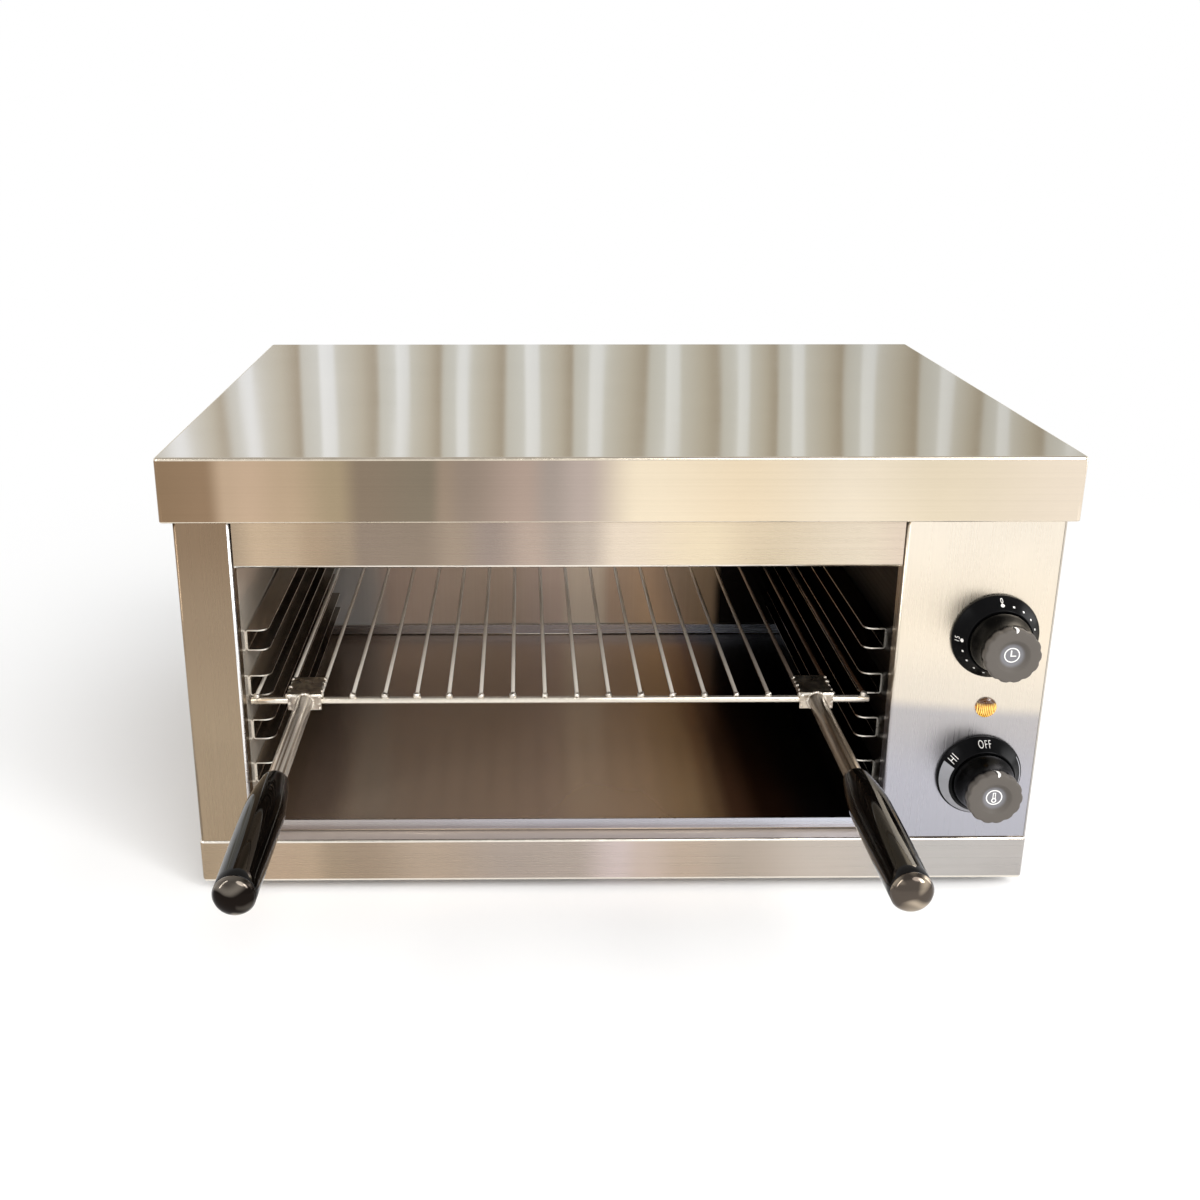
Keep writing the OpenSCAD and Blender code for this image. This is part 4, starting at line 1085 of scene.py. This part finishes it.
def fluted(r, h, a):
    """Fourteen shallow flutes that fade out behind the front rim and on the face."""
    if r < disc_r - 2.2 or h < face_h - 11:
        return r
    fade = min(1, (h - (face_h - 11)) / 4)
    return r - 0.75 * (0.5 - 0.5 * math.cos(flutes * a)) ** 2.2 * fade


waist = disc_r - 1.25
knob_profile = [(0, back_h), (skirt_r - 0.3, back_h)]
knob_profile += [(skirt_r - inward, back_h + h) for inward, h in (
    (0, 0.3), (0, 2.2), (0.25, 3.4), (0.8, 5), (2.1, 7.8))]
knob_profile += [(waist + 0.25, back_h + 11.5), (waist, back_h + 14), (waist, face_h - 11),
                 (waist + 0.1, face_h - 9.5)]
quarter = [math.pi / 2 * i / 6 for i in range(7)]
knob_profile += [(waist + 0.1 + 1.15 * math.sin(a), face_h - 5 - 4 * math.cos(a))
                 for a in quarter]
knob_profile += [(disc_r, face_h - 3.4), (disc_r, face_h - 1.6)]
knob_profile += [(disc_r - 1.5 * (1 - math.cos(a)), face_h - 1.6 * (1 - math.sin(a)))
                 for a in quarter[1:]]
knob_profile += [(r, face_h - h) for r, h in (
    (15, 0), (11.5, 0), (11.1, 0.08), (10.7, 0.3), (9.6, 1.0), (8.3, 2.1), (7.2, 2.8),
    (6.4, 3.05), (5.8, 3.1), (0, 3.1))]
mark_h = dish_h + 0.06


def ring_mark(shape, r_in, r_out, put, down=0.0, steps=48):
    inner, outer = ([shape.verts.new(put(r * math.cos(t), r * math.sin(t) - down, mark_h))
                     for t in (2 * math.pi * i / steps for i in range(steps))]
                    for r in (r_in, r_out))
    for i in range(steps):
        j = (i + 1) % steps
        shape.faces.new((inner[i], outer[i], outer[j], inner[j]))


def flat_mark(shape, outline, put, h=mark_h):
    shape.faces.new([shape.verts.new(put(u, v, h)) for u, v in outline])


def stroke(shape, start, end, width, put, h):
    """A printed line of even width that runs on past its ends by half its width."""
    along = (Vector(end) - Vector(start)).normalized() * width / 2
    aside = Vector((-along.y, along.x))
    a, b = Vector(start) - along, Vector(end) + along
    flat_mark(shape, [a - aside, b - aside, b + aside, a + aside], put, h)


for name, z in (("timer", timer_z), ("thermostat", thermostat_z)):
    put = on_dial(z)
    satin_knob = knob_grey(f"satin_grey_{name}_knob", put(0, 0, 0))
    shape = turned(knob_profile, put, steps=224, rule=fluted)
    fixed_to(piece_from(shape, f"{name}_knob_moulding", satin_knob), f"{name}_dial", "knob_grey",
             f"{name}_knob")
    shape = bmesh.new()
    if name == "timer":
        ring_mark(shape, 4.4, 5.15, put)
        stroke(shape, (-0.6, 2.9), (-0.6, -0.6), 0.9, put, mark_h)
        stroke(shape, (-0.6, -0.6), (2.4, -0.6), 0.7, put, mark_h + 0.01)
    else:
        ring_mark(shape, 4.75, 5.55, put)
        flat_mark(shape, [(-1.05, -0.85), (-0.5, -0.6), (-0.5, 3.0), (0.5, 3.0), (0.5, -0.6),
                          (1.05, -0.85), (1.05, 3.5), (-1.05, 3.5)], put)
        ring_mark(shape, 1.0, 1.75, put, down=2.25)
    # the comma runs along the barrel, thickens over the rim and ends on the face
    rows = []
    for back, drop, bow, wide in ((9.0, 0, -1.5, 0.15), (8.0, 0, -0.8, 0.35), (6.6, 0, -0.1, 0.55),
                                  (5.0, 0, 0.4, 0.75), (3.4, 0, 0.7, 0.9), (1.7, 0, 0.85, 0.95),
                                  (0.75, 0.3, 0.85, 0.95), (0.2, 0.85, 0.8, 0.9),
                                  (-0.05, 1.6, 0.65, 0.7), (-0.05, 2.5, 0.35, 0.25)):
        swell = 1.15 * (1 - math.cos(math.pi / 2 * min(1, max(0, (9.0 - back) / 4.0))))
        reach = disc_r - 1.15 + swell - drop + 0.07
        rows.append([shape.verts.new(put(bow + s * wide, reach, face_h - back)) for s in (-1, 1)])
    for a, b in zip(rows, rows[1:]):
        shape.faces.new((a[0], a[1], b[1], b[0]))
    print_piece(shape, f"{name}_knob_print", print_white, f"{name}_dial", "knob_grey")

# ---- pilot lamp ----
# A clear amber lens clips into the panel, with upright ribs moulded inside it. Its bright bars are
# painted highlights, its dark top is painted shade, and it glows faintly in these painted colours.
lens_r, lens_out, rib_gap = (lens_high.x - lens_low.x) / 2 / mm, (front - lens_low.y) / mm, 1.25


def amber_painted_highlights(tree, place):
    """Painted highlights in bright bars a millimetre apart below, painted shade in deep brown
    above.
    """
    side, height = (add_node(tree, "SeparateXYZ", (place,), axis) for axis in "XZ")
    turns = add_node(tree, "Math", (side, 2 * math.pi / (rib_gap * mm)), operation="MULTIPLY")
    bars = add_node(tree, "Math", (turns,), operation="SINE")
    specks = add_node(tree, "TexNoise", {"Vector": place, "Scale": 420.0})
    flecks = add_node(tree, "Math", (specks, 2.2, -1.1), operation="MULTIPLY_ADD")
    lit = add_node(tree, "Math", (bars, flecks), operation="ADD")
    ribs = add_node(tree, "ValToRGB", (add_node(tree, "MapRange", (lit, -1.0, 1.0)),), stops=[
        (0, "#8a4604"), (0.45, "#e39a0c"), (1, "#ffdf72")])
    top = add_node(tree, "MapRange", (height, pilot_z + 1.6 * mm, pilot_z + 4.0 * mm))
    return add_node(tree, "Mix", {"Factor": top, "A": ribs, "B": linear("#4a2905")}, 2,
                    data_type="RGBA")


amber = moulded("amber_polycarbonate", amber_painted_highlights, 0.07, grain=400.0, depth=0.04, ior=1.58,
                coat=0.5)
# painted glow: the lens gives off its own painted colours faintly, which lifts its painted
# highlights
shader = amber.node_tree.nodes["Principled BSDF"]
feed(shader, {"Emission Color": shader.inputs["Base Color"].links[0].from_socket,
              "Emission Strength": 0.2})


def lens_point(u, v, h):
    """Domes the lens and rolls its ribs over the dome."""
    share = math.hypot(u, v) / (lens_r - 1.9)
    if h > 2.6 and share < 1:
        h = (2.9 + (lens_out - 3.2) * (1 - share ** 2)
             + 0.22 * math.cos(2 * math.pi * u / rib_gap))
    return on_dial(pilot_z)(u, v, h)


rings = [((lens_r - 2) * (1 - i / 24), 3.0) for i in range(25)]
shape = turned([(0, -1), (6, -1), (6, 0), (lens_r, 0), (lens_r, 1.1), (lens_r - 0.3, 1.6),
                (lens_r - 0.9, 1.9), (lens_r - 1.4, 1.9), (lens_r - 1.8, 2.4)] + rings,
               lens_point, steps=96)
fixed_to(piece_from(shape, "pilot_lens_ribbed", amber), "cabinet", "pilot_amber", "pilot_lens")
dress(moulded("moulded_white_lamp_body", "#d9d4c8", 0.4), "pilot_body")

# ---- top cover ----
# The cover is one sheet folded down on all four sides, with its lower edge turned in. Its
# brushing runs across the width, and its front skirt carries the header's painted reflections.
cover_low, cover_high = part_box("top_cover")


def cover_painted_reflection(tree, place):
    """Painted reflections: pale warm grey on top, a little darker to the right; the skirt takes the
    header's tones.
    """
    top = across(tree, place, [(-0.30, "#cdc8c6"), (-0.1, "#beb9b2"), (0.1, "#b2aca0"),
                               (0.3, "#9f988b")])
    skirt = across(tree, place, [
        (-0.300, "#90775d"), (-0.267, "#977d63"), (-0.254, "#c3aa8f"), (-0.240, "#c8ae93"),
        (-0.217, "#bfa78b"), (-0.184, "#a9977b"), (-0.168, "#8b7b69"), (-0.124, "#867a69"),
        (-0.114, "#9d8b79"), (-0.100, "#978779"), (-0.062, "#b29e90"), (-0.046, "#a79a90"),
        (-0.025, "#baaba1"), (0.012, "#f1e1c6"), (0.080, "#ecd9bb"), (0.150, "#efe1ca"),
        (0.205, "#e6d7bd"), (0.300, "#eedfcb")], wander=0.004)
    height = add_node(tree, "SeparateXYZ", (place,), "Z")
    share = add_node(tree, "MapRange", (height, cover_high.z - 1.5 * mm,
                                        cover_high.z - 0.3 * mm))
    return add_node(tree, "Mix", {"Factor": share, "A": skirt, "B": top}, 2, data_type="RGBA")


cover_steel = brushed_stainless("brushed_stainless_cover", cover_painted_reflection, hairs=(2.2, 800, 800),
                                rough=0.085, spread=1.0, contrast=0.02, depth=0.015, swing=0.015)
# painted highlight: the cover's bends are painted pale so that they show as light lines
cover_bend = polished_steel("cover_bend", "#d9cdbb", rough=0.22)
shape = folded_box(cover_low, cover_high, 2 * mm, 3 * mm, rim=(1.5 * mm, 1.5 * mm),
                   rim_bend=1 * mm)
fixed_to(piece_from(shape, "cover_sheet", cover_steel, cover_bend, cut_edge_highlight), "cabinet",
         "cover_steel", "top_cover")


# ---- back ----
# The back is a flat brushed sheet with pressed slots. Pan head screws hold it to the sides and
# hold the cover to it, and a ribbed nylon gland takes the supply cable.
def back_tone(tree, place):
    return across(tree, place, [(-0.3, "#c4bfb6"), (0.0, "#bcb8b2"), (0.3, "#c6c1b8")])


def pan_heads(name, places, node, r=4, t=2.2):
    """Cross-recessed pan heads that face backwards, with their seats at the places."""
    facing = placer((0, 0, 0), right, upward, rearward)
    shape = turned([(0, 0), (r, 0), (r, t * 0.45), (r * 0.93, t * 0.72), (r * 0.78, t * 0.9),
                    (r * 0.55, t), (0, t)], facing, steps=32)
    for wide, tall in ((r * 0.6, r * 0.15), (r * 0.15, r * 0.6)):
        shape.faces.new([shape.verts.new(facing(u * wide, v * tall, t + 0.02))
                         for u, v in ((-1, -1), (1, -1), (1, 1), (-1, 1))])
    fixed_to(copies_at(name, shape, places, zinc), "cabinet", "screw_steel", node)


dress(brushed_stainless("brushed_stainless_back", back_tone), "back_panel")
back_y, head_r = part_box("back_panel")[1].y, 4 * mm
low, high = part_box("back_screws")
side_low, side_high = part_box("left_side_panel")
pan_heads("back_screw_heads", [(x, back_y, z) for x in (head_r - high.x, high.x - head_r) for z in (
    low.z + head_r, (side_low.z + side_high.z) / 2, high.z - head_r)], "back_screws")
low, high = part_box("cover_screws")
pan_heads("cover_screw_heads", [(x, cover_high.y, (low.z + high.z) / 2) for x in (
    low.x + head_r, 0, high.x - head_r)], "cover_screws")


def ribbed(r, h, a):
    """Grip ribs round the gland's cap."""
    on_cap = 4.5 < h < 17.6 and r > 9
    return r - 0.7 * (0.5 + 0.5 * math.cos(18 * a)) if on_cap else r


low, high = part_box("cable_gland")
nylon = moulded("moulded_nylon", "#242424", 0.45)
shape = turned([(5, -12), (9.9, -12), (9.9, 0), (13.6, 0), (14, 0.5), (14, 3.4), (13.4, 4),
                (12.1, 4.2), (12.1, 5), (12.1, 17.2), (11.9, 17.8), (10, 20.8), (9.2, 21.8),
                (8.4, 22), (5, 22)],
               placer(((low.x + high.x) / 2, back_y, (low.z + high.z) / 2), right, upward,
                      rearward), steps=144, rule=ribbed, closed=True)
fixed_to(piece_from(shape, "gland_moulding", nylon), "cabinet", "gland_nylon", "cable_gland")
dress(nylon, "gland_nut")

# ---- inside the body ----
# What the cabinet holds out of sight: the blanket over the reflector, the two switches and their
# shafts, the bulb with its capillary, the terminal block and the wires.
dress(moulded("ceramic_fibre", "#e2dccd", 0.9, grain=300.0, depth=0.8, mottle=0.1),
      "insulation_blanket")
dress(moulded("moulded_switch_body", "#ddd6c6", 0.42), "timer_body", "thermostat_body",
      "terminal_block")
dress(zinc, "timer_shaft", "thermostat_shaft", "control_screws")
dress(polished_steel("drawn_copper", "#b87a52", rough=0.3, mottle=0.2), "thermostat_bulb",
      "capillary_tube")
dress(moulded("silicone_wire", "#8c3024", 0.5), "wiring_loom")
